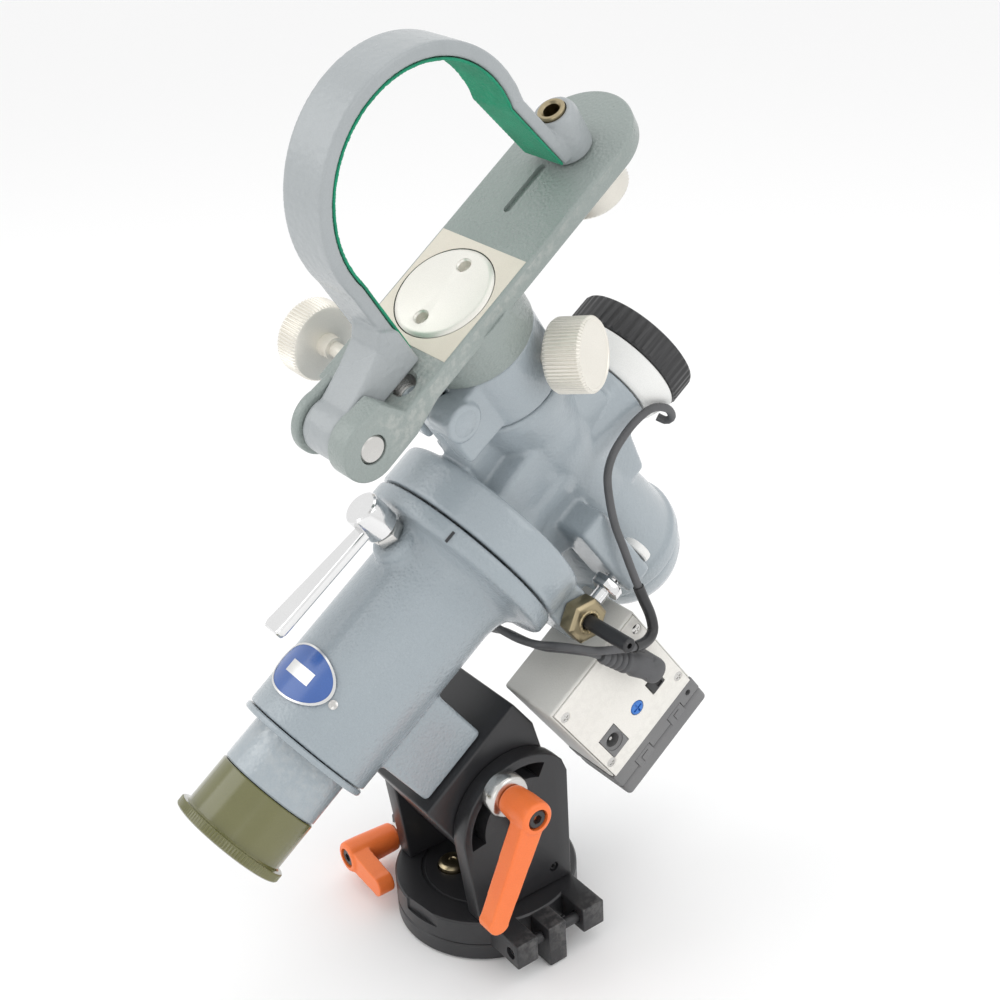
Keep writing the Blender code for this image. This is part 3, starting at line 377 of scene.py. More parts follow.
def makeGroups():
    # leather-like paint: rounded pebbles with finer grit between
    group, given, result = newGroup(
        "paintPebble", [("Vector", "NodeSocketVector", None), ("Scale", "NodeSocketFloat", 1000.0),
                        ("Grit", "NodeSocketFloat", 0.3)], [("Height", "NodeSocketFloat")])
    cells = group.nodes.new("ShaderNodeTexVoronoi")
    cells.feature = "SMOOTH_F1"
    group.links.new(given.outputs["Vector"], cells.inputs["Vector"])
    group.links.new(given.outputs["Scale"], cells.inputs["Scale"])
    cells.inputs["Smoothness"].default_value = 0.8
    dome = mathNode(group, "SUBTRACT", 1.0, cells.outputs["Distance"])
    grit = noiseNode(group, given.outputs["Vector"], mathNode(group, "MULTIPLY", given.outputs["Scale"], 2.2))
    group.links.new(mathNode(group, "MULTIPLY_ADD", grit, given.outputs["Grit"], dome),
                    result.inputs["Height"])

    # worn edges: where the surface turns sharply outwards, broken up by noise
    group, given, result = newGroup(
        "edgeWear", [("Vector", "NodeSocketVector", None), ("Amount", "NodeSocketFloat", 0.5),
                     ("Breakup", "NodeSocketFloat", 350.0)], [("Mask", "NodeSocketFloat")])
    shape = group.nodes.new("ShaderNodeNewGeometry")
    sharp = ranged(group, shape.outputs["Pointiness"], 0.56, 0.7, 0.0, 1.0)
    broken = ranged(group, noiseNode(group, given.outputs["Vector"], given.outputs["Breakup"], 4.0), 0.42,
                    0.62, 0.0, 1.3)
    mask = mathNode(group, "MULTIPLY", mathNode(group, "MULTIPLY", sharp, broken), given.outputs["Amount"])
    limited = group.nodes.new("ShaderNodeClamp")
    group.links.new(mask, limited.inputs["Value"])
    group.links.new(limited.outputs[0], result.inputs["Mask"])

    # slow drift in tone, with a few small marks
    group, given, result = newGroup(
        "toneDrift", [("Vector", "NodeSocketVector", None), ("Scale", "NodeSocketFloat", 20.0)],
        [("Drift", "NodeSocketFloat"), ("Marks", "NodeSocketFloat")])
    drift = noiseNode(group, given.outputs["Vector"], given.outputs["Scale"], 4.0, 0.55)
    group.links.new(ranged(group, drift, 0.3, 0.7, 0.0, 1.0), result.inputs["Drift"])
    marks = noiseNode(group, given.outputs["Vector"],
                      mathNode(group, "MULTIPLY", given.outputs["Scale"], 9.0), 6.0, 0.7)
    group.links.new(ranged(group, marks, 0.62, 0.72, 0.0, 1.0), result.inputs["Marks"])

    # fine parallel tool marks along one axis of the vector it is given
    group, given, result = newGroup(
        "toolMarks", [("Vector", "NodeSocketVector", None), ("Scale", "NodeSocketFloat", 1500.0)],
        [("Height", "NodeSocketFloat")])
    stretched = group.nodes.new("ShaderNodeVectorMath")
    stretched.operation = "MULTIPLY"
    group.links.new(given.outputs["Vector"], stretched.inputs[0])
    stretched.inputs[1].default_value = (1.0, 0.03, 0.03)
    group.links.new(noiseNode(group, stretched.outputs[0], given.outputs["Scale"], 2.0, 0.5),
                    result.inputs["Height"])


def addGroup(tree, name, vector, **values):
    item = tree.nodes.new("ShaderNodeGroup")
    item.node_tree = bpy.data.node_groups[name]
    tree.links.new(vector, item.inputs["Vector"])
    for key, value in values.items():
        item.inputs[key].default_value = value
    return item


def mixed(tree, share, first, second):
    item = tree.nodes.new("ShaderNodeMix")
    item.data_type = "RGBA"
    tree.links.new(share, item.inputs["Factor"])
    for socket, value in ((item.inputs[6], first), (item.inputs[7], second)):
        if hasattr(value, "is_output"):
            tree.links.new(value, socket)
        else:
            socket.default_value = (*value, 1)
    return item.outputs[2]


def makeFinish(name, colour, drift, rough, metal=0.0, wear=0.0, bare=(0.72, 0.7, 0.66), pebble=0.0,
               pebbleScale=900.0,
               grit=0.3, tools=0.0, toolScale=1500.0, coat=0.0, sheen=0.0, glass=0.0,
               driftScale=22.0):
    material = bpy.data.materials.new(name)
    material.use_nodes = True
    tree = material.node_tree
    shader = tree.nodes["Principled BSDF"]
    spot = tree.nodes.new("ShaderNodeTexCoord").outputs["Object"]
    tone = addGroup(tree, "toneDrift", spot, Scale=driftScale)
    base = mixed(tree, tone.outputs["Drift"], colour, drift)
    grain = ranged(tree, noiseNode(tree, spot, 2600.0, 2.0), 0.35, 0.65, 0.0, 0.22)
    base = mixed(tree, grain, base, tuple(value * 0.72 for value in colour))
    roughness = ranged(tree, tone.outputs["Drift"], 0.0, 1.0, rough[0], rough[1])
    if wear:
        worn = addGroup(tree, "edgeWear", spot, Amount=wear)
        base = mixed(tree, worn.outputs["Mask"], base, bare)
        if not metal:
            tree.links.new(worn.outputs["Mask"], shader.inputs["Metallic"])
    tree.links.new(base, shader.inputs["Base Color"])
    tree.links.new(roughness, shader.inputs["Roughness"])
    if metal:
        shader.inputs["Metallic"].default_value = metal
    shader.inputs["Coat Weight"].default_value = coat
    shader.inputs["Coat Roughness"].default_value = 0.15
    if sheen:
        shader.inputs["Sheen Weight"].default_value = sheen
        shader.inputs["Sheen Roughness"].default_value = 0.5
    if glass:
        shader.inputs["Transmission Weight"].default_value = glass
    height = None
    if pebble:
        height = addGroup(tree, "paintPebble", spot, Scale=pebbleScale, Grit=grit).outputs["Height"]
        depth = pebble
    elif tools:
        height = addGroup(tree, "toolMarks", spot, Scale=toolScale).outputs["Height"]
        depth = tools
    else:
        height = noiseNode(tree, spot, 1800.0, 3.0)
        depth = 0.00002
    bump = tree.nodes.new("ShaderNodeBump")
    bump.inputs["Strength"].default_value = 1.0
    bump.inputs["Distance"].default_value = depth
    tree.links.new(height, bump.inputs["Height"])
    tree.links.new(bump.outputs[0], shader.inputs["Normal"])
    finishes[name] = material
    return material


def makeFinishes():
    makeFinish("bluegreyPaint", (0.31, 0.355, 0.385), (0.335, 0.38, 0.41), (0.18, 0.28), wear=0.3,
               pebble=0.0003,
               pebbleScale=900.0, coat=0.35)
    makeFinish("smoothPaint", (0.32, 0.365, 0.395), (0.355, 0.4, 0.43), (0.2, 0.28), wear=0.45,
               pebble=0.00014,
               pebbleScale=700.0, coat=0.35)
    makeFinish("hammerPaint", (0.25, 0.29, 0.275), (0.29, 0.33, 0.315), (0.24, 0.34), wear=0.16,
               pebble=0.00025,
               pebbleScale=950.0, grit=0.5, coat=0.15)
    makeFinish("strapPaint", (0.33, 0.355, 0.365), (0.37, 0.395, 0.405), (0.22, 0.32), wear=1.3,
               pebble=0.0002,
               pebbleScale=450.0, bare=(0.75, 0.74, 0.7))
    makeFinish("turnedAluminium", (0.86, 0.84, 0.79), (0.8, 0.78, 0.72), (0.36, 0.46), metal=0.6,
               tools=0.00003)
    makeFinish("milledAluminium", (0.74, 0.7, 0.61), (0.66, 0.62, 0.53), (0.3, 0.45), metal=0.6,
               tools=0.00006,
               toolScale=900.0)
    makeFinish("ribbedAluminium", (0.84, 0.81, 0.74), (0.78, 0.75, 0.68), (0.34, 0.42), metal=0.5, wear=0.1)
    makeFinish("chromePlate", (0.82, 0.82, 0.82), (0.76, 0.76, 0.76), (0.06, 0.14), metal=1.0)
    makeFinish("brightSteel", (0.68, 0.67, 0.65), (0.55, 0.54, 0.52), (0.18, 0.32), metal=1.0, tools=0.00002)
    makeFinish("blackAnodised", (0.018, 0.018, 0.02), (0.023, 0.023, 0.025), (0.32, 0.4), wear=0.15,
               pebble=0.00003,
               pebbleScale=2200.0, bare=(0.35, 0.34, 0.33))
    makeFinish("blackPlastic", (0.02, 0.02, 0.021), (0.032, 0.032, 0.034), (0.32, 0.45), wear=0.25,
               bare=(0.12, 0.12, 0.12))
    makeFinish("darkPlastic", (0.15, 0.15, 0.155), (0.19, 0.19, 0.19), (0.4, 0.5), pebble=0.00005,
               pebbleScale=1800.0)
    makeFinish("orangePlastic", (0.86, 0.17, 0.035), (0.92, 0.22, 0.05), (0.33, 0.42), wear=0.3,
               bare=(1.0, 0.5, 0.3),
               pebble=0.00004, pebbleScale=1500.0)
    makeFinish("oliveGloss", (0.125, 0.125, 0.045), (0.16, 0.155, 0.06), (0.14, 0.24), wear=0.4,
               bare=(0.4, 0.38, 0.2),
               coat=0.4)
    makeFinish("creamPanel", (0.78, 0.76, 0.71), (0.84, 0.82, 0.77), (0.36, 0.46), wear=0.3, pebble=0.00004,
               pebbleScale=1600.0)
    makeFinish("agedBrass", (0.44, 0.37, 0.24), (0.35, 0.29, 0.18), (0.25, 0.42), metal=1.0, wear=0.8,
               bare=(0.75, 0.6, 0.33))
    makeFinish("bearingBronze", (0.45, 0.29, 0.14), (0.36, 0.22, 0.1), (0.3, 0.42), metal=1.0)
    makeFinish("greenFelt", (0.004, 0.25, 0.13), (0.01, 0.34, 0.18), (0.9, 1.0), pebble=0.0003,
               pebbleScale=1400.0,
               grit=1.4, sheen=0.1, driftScale=90.0)
    makeFinish("blueEnamel", (0.035, 0.10, 0.34), (0.05, 0.13, 0.4), (0.2, 0.3), coat=0.4)
    makeFinish("plateSilver", (0.75, 0.75, 0.74), (0.66, 0.66, 0.65), (0.25, 0.4), metal=0.9)
    makeFinish("whitePlastic", (0.8, 0.8, 0.78), (0.86, 0.86, 0.84), (0.3, 0.4), wear=0.2)
    makeFinish("cableRubber", (0.075, 0.077, 0.08), (0.1, 0.1, 0.105), (0.45, 0.6), driftScale=120.0)
    makeFinish("clearLens", (0.9, 0.95, 0.95), (0.88, 0.93, 0.95), (0.03, 0.06), glass=0.9)
    makeFinish("blueTrimmer", (0.03, 0.16, 0.55), (0.04, 0.2, 0.62), (0.3, 0.4))
    # the box's sides: the panel's cream paint made darker, painted shade
    makeFinish("boxSideShaded", (0.66, 0.65, 0.61), (0.72, 0.71, 0.67), (0.34, 0.46), wear=0.3, pebble=0.00004,
               pebbleScale=1600.0)
    makeFinish("seamShadow", (0.03, 0.032, 0.035), (0.045, 0.047, 0.05), (0.6, 0.75))


makeGroups()
makeFinishes()
print(len(finishes), "finishes ready")

# ---- the lamp cable and its plug, first because its route is the frame's
cable = {"radius": 1.6, "step": 1.6, "plug": (41.7, 76.6, 14.1), "reach": 29.0, "axis": (0, -0.925, -0.38)}
cableRoute = [
    (14.8, 20.0, 90.2), (17.6, 22.4, 91.2), (20.6, 20.4, 92.8), (23.4, 13.0, 91.8), (24.4, 6.0, 86.5),
    (24.8, 3.2, 78.0), (25.6, 2.7, 69.0), (27.4, 2.8, 61.0), (29.6, 5.2, 54.0), (32.0, 11.8, 47.8),
    (34.2, 20.0, 42.6), (35.4, 29.0, 39.4), (36.6, 39.8, 35.6), (38.4, 51.4, 31.6), (39.8, 60.0, 28.8),
    (41.6, 64.6, 25.0), (43.6, 63.2, 19.8), (46.0, 56.8, 14.0), (47.2, 48.2, 7.8), (46.2, 40.6, 1.8),
    (41.0, 36.8, -2.0), (32.0, 36.8, -5.4), (20.0, 41.2, -7.8), (8.0, 43.4, -9.6), (-6.0, 43.8, -10.4),
    (-16.0, 43.8, -11.4), (-25.0, 46.0, -12.4), (-29.0, 51.6, -12.4), (-25.0, 56.0, -11.0),
              (-16.0, 53.0, -10.0),
    (-6.0, 49.2, -9.0), (8.0, 47.8, -8.0), (18.0, 47.4, -6.2), (28.0, 45.8, -3.2), (36.6, 44.2, -0.8),
    (40.8, 45.2, 1.2),
    tuple(a + (cable["reach"] + 0.9) * b for a, b in zip(cable["plug"], cable["axis"])),
]


routeParts = 12  # fine points between two points of a route


def smoothRoute(route, step):
    ends = [2 * Vector(route[0]) - Vector(route[1]), *map(Vector, route),
            2 * Vector(route[-1]) - Vector(route[-2])]
    fine = []
    for a, b, c, d in zip(ends, ends[1:], ends[2:], ends[3:]):
        for part in range(routeParts):
            t = part / routeParts
            fine.append(0.5 * (2 * b + (c - a) * t + (2 * a - 5 * b + 4 * c - d) * t * t
                               + (3 * b - a - 3 * c + d) * t * t * t))
    fine.append(ends[-2])
    lengths = [0.0]
    for first, second in zip(fine, fine[1:]):
        lengths.append(lengths[-1] + (second - first).length)
    count = round(lengths[-1] / step)
    points = []
    spot = 0
    for number in range(count + 1):
        wanted = lengths[-1] * number / count
        while spot < len(fine) - 2 and lengths[spot + 1] < wanted:
            spot += 1
        share = (wanted - lengths[spot]) / (lengths[spot + 1] - lengths[spot])
        points.append(fine[spot].lerp(fine[spot + 1], share))
    return points


def curveThrough(name, points, radius, resolution=6):
    line = bpy.data.curves.new(name, "CURVE")
    line.dimensions = "3D"
    line.bevel_depth = radius
    line.bevel_resolution = resolution
    line.use_fill_caps = True
    spline = line.splines.new("POLY")
    spline.points.add(len(points) - 1)
    for knot, point in zip(spline.points, points):
        knot.co = (*point, 1)
    item = bpy.data.objects.new(name, line)
    bpy.context.scene.collection.objects.link(item)
    return item


def makeCable():
    points = [polarAt @ point for point in smoothRoute(cableRoute, cable["step"])]
    item = curveThrough("lampCable", points, cable["radius"] * 0.001)
    item.data.materials.append(finishes["cableRubber"])
    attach(item, "ra_head")
    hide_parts("lamp_cable")
    # the plug: a round dome on the panel and a ribbed strain relief at right angles to it
    face = 34.1
    plugSpot = cable["plug"]
    dome = turned([(0, 12.6), (3.6, 12.4), (5.0, 11.4), (5.4, 9.8), (5.4, 0.9), (0, 0.9)], steps=48)
    laid(dome, (face, plugSpot[1], plugSpot[2]), (1, 0, 0))
    profile = [(0, 29.0), (2.3, 29.0), (2.6, 28.6)]
    for rib in range(5):
        low = 26.6 - rib * 2.9
        wide = 2.9 + rib * 0.35
        profile += [(wide, low + 1.2), (wide + 0.2, low + 0.8), (wide + 0.2, low - 0.2),
                    (wide - 0.6, low - 0.7), (wide - 0.6, low - 1.2)]
    profile += [(4.4, 11.2), (5.0, 10.0), (5.0, 0), (0, 0)]
    relief = turned(profile, plugSpot, cable["axis"], steps=48)
    plug = place(joined(dome, relief), "cablePlug", polarAt, "ra_head", "cableRubber", ["cable_plug"])
    # a black sleeve over the lead where it runs under the flange: painted shade, darker than the cable's
    # rubber
    shadedStretch = points[int(len(points) * 0.33):int(len(points) * 0.44)]
    sleeve = curveThrough("cableShadeSleeve", shadedStretch, 0.0022)
    sleeve.data.materials.append(finishes["blackPlastic"])
    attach(sleeve, "ra_head")


makeCable()


# ---- alt-azimuth base
base = {"radius": 38.3, "lowTop": 7.2, "top": 18.8, "gap": 0.3, "groove": 26.5, "chamfer": 0.7}


def socketHead(name, spot, axis, radius, height, where, body, look):
    head = turned([(0, height), (radius - 0.5, height), (radius, height - 0.5), (radius, 0), (0, 0)],
                  steps=48)
    cut(head, rod(radius * 0.52, height - radius * 0.8, height + 2, steps=6))
    return place(laid(head, spot, axis), name, where, body, look, slotName="plated_steel")


def clampLever(tag, spot, axis, arm, hubStart, hubLength, armLength, where, body, bore):
    out = Vector(axis).normalized()
    along = Vector(arm).normalized()
    top = hubStart + hubLength
    hub = turned([(0, top), (5.9, top), (6.8, top - 0.8), (7.0, top - 3), (6.9, top - 9), (6.3, hubStart + 1),
                  (5.9, hubStart), (0, hubStart)], steps=64)
    low = top - 9
    outline = [(0, -5.6), (armLength - 6, -4.4), *arc((armLength - 5, 0), 4.9, -75, 75, 14),
               (armLength - 6, 4.4), (0, 5.6)]
    bar = sheetCut(outline, low + 0.4, low + 8.0)
    lever = cast([hub, bar], 0.42, 5)
    cut(lever, rod(4.4, top - 3.2, top + 4, steps=48), rod(bore, hubStart - 2, hubStart + 9, steps=32))
    side = out.cross(along)
    turn = Matrix((along, side, out)).transposed().to_4x4()
    stand = Matrix.Translation(spot) @ turn
    moved(lever, stand)
    place(lever, f"{tag}Lever", where, body, "orangePlastic", [f"{tag}_lever"], smooth=60)
    socketHead(f"{tag}LeverScrew", Vector(spot) + out * (top - 3.6), axis, 3.9, 3.0, where, body,
               "blackPlastic")


def makeBase():
    radius, top, chamfer = base["radius"], base["lowTop"], base["chamfer"]
    disc = turned([(0, top), (radius - chamfer, top), (radius, top - chamfer), (radius, chamfer),
                   (radius - chamfer, 0), (0, 0)], steps=128)
    post = block((radius - 2, -5.0, 0.01), (50.0, 3.6, base["top"]), 0.6)
    cut(post, block((20, -10, top - 0.01), (radius + 0.3, 10, 30)))
    place(joined(disc, post), "baseDisc", worldAt, "base", "blackAnodised", ["base_disc"])
    low, high, groove = top + base["gap"], base["top"], base["groove"]
    plate = turned([(0, high), (groove - 0.9, high), (groove - 0.6, high - 0.7), (groove + 0.6, high - 0.7),
                    (groove + 0.9, high), (radius - chamfer, high), (radius, high - chamfer),
                    (radius, low + chamfer), (radius - chamfer, low), (0, low)], steps=128)
    joined(plate, block((24, -20.8, low + 0.02), (50.2, -10.7, high - 0.02), 0.6),
           block((24, 12.2, low + 0.02), (50.2, 22.8, high - 0.02), 0.6),
           block((-53, -14, low + 0.02), (-25, 14, high - 0.03), 0.8))
    cut(plate, sheetCut([(-2, -37.5), (31, -33), (38, -50), (-8, -50)], 13.2, 30),
        block((-60, -0.8, 0), (-27, 0.8, 30)),
        rod(3.4, -20, 20, (-46, 0, 13), (0, 1, 0), 32),
        rod(2.6, -40, 40, (45.5, 0, 13), (0, 1, 0), 32),
        turned([(0, 30), (6.9, 30), (6.9, 19.0), (6.3, 18.4), (6.3, 14), (0, 14)], (-7, -12, 0), steps=48))
    place(plate, "azimuthPlate", worldAt, "azimuth", "blackAnodised", ["azimuth_plate"])
    plug = turned([(0, 21.0), (1.4, 21.0), (1.7, 21.5), (4.4, 21.5), (5.2, 21.2), (6, 20.2), (6, 14.3),
                   (0, 14.3)],
                  (-7, -12, 0), steps=64)
    place(plug, "frictionPlug", worldAt, "azimuth", "agedBrass", ["friction_plug"])
    for tag, inner, outer, body in (("south", -5.3, -19.6, "azimuth_screw_s"),
                                    ("north", 3.9, 21.6, "azimuth_screw_n")):
        reach = abs(outer - inner)
        axis = (0, math.copysign(1, outer), 0)
        screw = turned([(0, reach), (1.8, reach), (2.2, reach - 0.4), (2.2, 0.6), (1.6, 0), (0, 0)], steps=48)
        cut(screw, rod(1.3, reach - 2.5, reach + 6, steps=6))
        place(laid(screw, (45.5, inner, 13), axis), f"azimuthScrew{tag.title()}", worldAt, body,
              "blackAnodised", [f"azimuth_screw_{tag}"], slotName="plated_steel")
    stud = turned([(0, 24.5), (3, 24.5), (3, 17.5), (4.8, 17.5), (5.2, 17.1), (5.2, 14.3), (3, 14.3),
                   (3, -12), (0, -12)],
                  (-46, 0, 13), (0, -1, 0), 64)
    place(stud, "azimuthClampStud", worldAt, "azimuth", "brightSteel", ["azimuth_clamp_stud"])
    clampLever("azimuth", (-46, 0, 13), (0, -1, 0), (0.97, 0, -0.1), 17.8, 24, 26, worldAt,
               "azimuth_lever_body", 3.2)


tilt = {"height": mount["tiltHeight"], "slotRadius": 21.5, "inner": 21.5, "outer": 29.5}


def inCheekPlane(item):
    return moved(item, Matrix(((0, 0, 1, 0), (1, 0, 0, 0), (0, 1, 0, 0), (0, 0, 0, 1))))


def makeTilt():
    height, slotRadius = tilt["height"], tilt["slotRadius"]
    centre = (0, height)
    for tag, low, high in (("east", tilt["inner"], tilt["outer"]), ("west", -tilt["outer"], -tilt["inner"])):
        outline = [(22.8, 19.1), (22.8, 71.0), (20.5, 77.0), *arc(centre, 28.2, 52, 180, 40), (-23.8, 19.1)]
        cheek = sheetCut(outline, low, high, 0.8)
        if tag == "east":
            slot = sheetCut(arc(centre, slotRadius + 3.2, 62, 188, 40) + arc(centre, slotRadius - 3.2, 188,
                                                                             62, 40),
                            low - 5, high + 5)
            cut(cheek, slot)
        inCheekPlane(cheek)
        cut(cheek, rod(4.3, low - 5, high + 5, (0, 0, height), (1, 0, 0), 48))
        if tag == "east":
            cut(cheek, rod(2.2, high - 4, high + 5, (0, 14, 27), (1, 0, 0), 32),
                rod(2.2, high - 4, high + 5, (0, -14, 27), (1, 0, 0), 32))
        place(cheek, f"cheek{tag.title()}", worldAt, "azimuth", "blackAnodised", [f"cheek_{tag}"])
    for number, across in enumerate((14, -14)):
        socketHead(f"cheekScrew{number}", (26.2, across, 27), (1, 0, 0), 1.9, 2.6, worldAt, "azimuth",
                   "blackPlastic")
    bolt = turned([(0, 35.5), (5.8, 35.5), (6.4, 34.9), (6.4, 29.8), (4, 29.8), (4, -30.5), (0, -30.5)],
                  steps=64)
    cut(bolt, rod(3.0, 32.5, 40, steps=6))
    place(laid(bolt, (0, 0, height), (1, 0, 0)), "tiltBolt", worldAt, "azimuth", "brightSteel",
          ["tilt_bolt"])
    drop = mount["polarHeight"] - height
    slope = math.radians(mount["latitude"])
    pivot = (-drop * math.sin(slope), drop * math.cos(slope))
    outline = [(-31, 50.8), (-84, 50.8), *arc(pivot, 25.5, 170, -10, 40), (-31, 66)]
    shape = sheetCut(outline, -21.2, 21.2, 1.0)
    moved(shape, Matrix(((0, 0, 1, 0), (0, 1, 0, 0), (1, 0, 0, 0), (0, 0, 0, 1))))
    angle = math.radians(mount["tiltClampAngle"])
    stud = Vector((0, math.cos(angle) * slotRadius, height + math.sin(angle) * slotRadius))
    toPolar = polarAt.inverted() @ worldAt
    studBore = rod(3.3, 8, 40, stud, (1, 0, 0), 32)
    moved(studBore, toPolar)
    cut(shape, rod(4.3, -40, 40, (0, pivot[1], pivot[0]), (1, 0, 0), 48), studBore)
    place(shape, "tiltBlock", polarAt, "altitude", "blackAnodised", ["tilt_block"])
    clamp = turned([(0, 46), (2.9, 46), (2.9, 36.5), (7.6, 36.5), (8.4, 36.0), (9, 35.2), (9, 31.4),
                    (8.6, 31.2), (8.6, 29.8), (2.9, 29.8), (2.9, 12), (0, 12)], stud, (1, 0, 0), 64)
    place(clamp, "tiltClampStud", worldAt, "altitude", "brightSteel", ["tilt_clamp_stud"])
    clampLever("tilt", stud, (1, 0, 0), (0, -0.44, -0.9), 36.8, 17, 49, worldAt, "tilt_lever_body", 3.1)


makeBase()
makeTilt()
print("base ready")

# ---- polar housing and its fittings
housing = {"radius": 26.5, "start": -91.6, "flange": 41.0, "face": 1.0, "voxel": 0.85}


def clampAxis():
    bearing = math.radians(mount["clampBearing"])
    return Vector((math.cos(bearing), -math.sin(bearing), 0))


def makeHousing():
    radius, start, flange, face = housing["radius"], housing["start"], housing["flange"], housing["face"]
    body = turned([(17.2, face), (17.2, start), (radius - 0.7, start), (radius, start + 0.7), (radius, -19.0),
                   (27.4, -13.5), (29.0, -9.8), (33.0, -7.4), (flange - 1.2, -6.2), (flange, -5.0),
                   (flange, face - 0.8), (flange - 0.8, face), (17.2, face)], steps=160)
    foot = block((-18, 20, -80.3), (18, 50.5, -47.2), 1.6, 4)
    boss = turned([(0, 31), (7.6, 31), (8.6, 30.4), (9.8, 28.6), (10.8, 22), (0, 22)],
                  (0, 0, mount["clampStation"]), clampAxis(), 64)
    shape = cast([body, foot, boss], housing["voxel"], 3)
    cut(shape, rod(17.2, -100, 10, steps=96),
        rod(4.0, 10, 60, (0, 0, mount["clampStation"]), clampAxis(), 32))
    place(shape, "polarHousing", polarAt, "altitude", "bluegreyPaint", ["polar_housing"], smooth=55)
    bearing = 51.0
    mark = block((41.02, -0.55, -6.2), (41.25, 0.55, -1.6))
    moved(mark, turnAbout("Z", -bearing))
    place(mark, "indexMark", polarAt, "altitude", "seamShadow")
    endRing = turned([(26.0, -91.9), (26.6, -92.4), (26.6, -93.6), (26.2, -94.2), (25.2, -94.4),
                      (20.8, -94.4), (20.8, -91.9), (26.0, -91.9)], steps=128)
    place(endRing, "housingEndRing", polarAt, "altitude", "bluegreyPaint", ["housing_end_ring"])
    sleeve = turned([(20.4, -92.5), (20.4, -111.6), (19.9, -112.2), (16.5, -112.2), (16.5, -92.5),
                     (20.4, -92.5)],
                    steps=128)
    place(sleeve, "eyepieceSleeve", polarAt, "altitude", "smoothPaint", ["eyepiece_sleeve"])
    cap = ribbed([(20.2, -112.5), (20.6, -112.9), (20.6, -131.6), (21.2, -132.2), (22.8, -132.4),
                  (23.15, -132.8),
                  (23.15, -135.3), (22.8, -135.8), (22.0, -136.2), (0, -136.2), (0, -133), (18.8, -133),
                  (18.8, -112.5), (20.2, -112.5)], 110, -135.6, -132.6, 0.35, minRadius=23.0)
    place(cap, "polarCap", polarAt, "rear_cap", "oliveGloss", ["polar_cap"], smooth=30)


namePlate = {"station": -72.5, "halfLong": 16.0, "halfHigh": 10.4, "radius": 26.55}


def bent(item, halfLong, halfHigh, low, high):
    # a flat sheet, two units across, is sized, thickened and wrapped round the housing
    useModifier(item, "SOLIDIFY", thickness=1.0, offset=0.0)
    bearing = math.radians(mount["plateBearing"])
    for point in item.data.vertices:
        angle = bearing - point.co.x * halfLong / namePlate["radius"]
        radius = namePlate["radius"] + (high if point.co.z > 0 else low)
        point.co = (radius * math.cos(angle), -radius * math.sin(angle),
                    namePlate["station"] + point.co.y * halfHigh)
    editAll(item)
    faceOutwards()
    return item


def ovalSheet(hole=0.0, rows=12):
    # a round sheet of rings of faces, open in the middle if it has a hole
    onlyPick()
    bpy.ops.mesh.primitive_circle_add(vertices=72, radius=1, fill_type="NOTHING", location=(0, 0, 0))
    item = bpy.context.object
    bpy.ops.object.mode_set(mode="EDIT")
    bpy.ops.mesh.select_all(action="SELECT")
    previous = 1.0
    for row in reversed(range(rows)):
        share = max(hole + (1 - hole) * row / rows, 0.02)
        bpy.ops.mesh.extrude_region_move(TRANSFORM_OT_translate={"value": (0, 0, 0)})
        bpy.ops.transform.resize(value=(share / previous, share / previous, 1), center_override=(0, 0, 0))
        previous = share
    if not hole:
        bpy.ops.mesh.edge_face_add()
    faceOutwards()
    return item


def squareSheet():
    onlyPick()
    bpy.ops.mesh.primitive_grid_add(x_subdivisions=24, y_subdivisions=4, size=2, location=(0, 0, 0))
    return bpy.context.object


def makeNamePlate():
    long, high = namePlate["halfLong"], namePlate["halfHigh"]
    enamel = bent(ovalSheet(), long, high, 0.32, 0.9)
    place(enamel, "namePlate", polarAt, "altitude", "blueEnamel", ["name_plate"], smooth=45)
    border = bent(ovalSheet(0.93, 1), long, high, 0.34, 1.12)
    place(border, "namePlateBorder", polarAt, "altitude", "plateSilver", smooth=45)
    window = bent(squareSheet(), 6.4, 2.5, 0.6, 1.0)
    place(window, "namePlateWindow", polarAt, "altitude", "plateSilver", smooth=45)
    for number, side in enumerate((-1, 1)):
        angle = math.radians(mount["plateBearing"] + side * math.degrees(long * 1.12 / 26.5))
        out = Vector((math.cos(angle), -math.sin(angle), 0))
        crossScrew(f"namePlateScrew{number}", out * 26.9 + Vector((0, 0, namePlate["station"] + side * 1.5)),
                   out, 1.7,
                   polarAt, "altitude")


def makeClamp():
    spot = Vector((0, 0, mount["clampStation"]))
    axis = clampAxis()
    nut = turned([(0, 35.8), (5.6, 35.8), (6.5, 35.1), (6.5, 32.0), (5.6, 31.3), (0, 31.3)], steps=6)
    softened(nut, 0.25, 2)
    cut(nut, rod(4.2, 20, 50, steps=48))
    place(laid(nut, spot, axis), "clampNut", polarAt, "altitude", "brightSteel", ["ra_clamp_nut"])
    head = turned([(0, 49.5), (5.9, 49.5), (6.7, 49.0), (7.0, 48.3), (7.0, 37.2), (6.4, 36.6), (3.7, 36.6),
                   (3.7, 19), (0, 19)], steps=80)
    laid(head, spot, axis)
    bar = sheetCut([(0, -3.0), (53.3, -5.5), (54.9, -4.9), (55.4, -4.0), (55.4, 4.0), (54.9, 4.9),
                    (53.3, 5.5), (0, 3.0)],
                   39.1, 42.9, 0.9)
    along = Vector((0.05 * axis.x, 0.05 * axis.y, -1)).normalized()
    side = axis.cross(along).normalized()
    moved(bar, Matrix.Translation(spot) @ Matrix((along, side, along.cross(side))).transposed().to_4x4())
    lever = joined(head, bar)
    place(lever, "clampLever", polarAt, "ra_clamp", "chromePlate", ["ra_clamp_bolt"], smooth=30)


makeHousing()
makeNamePlate()
makeClamp()
print("housing ready")

# ---- the casting that turns about the polar axis, with its port
head = {"radius": 41.0, "top": 17.5, "voxel": 0.85, "web": 17.2}


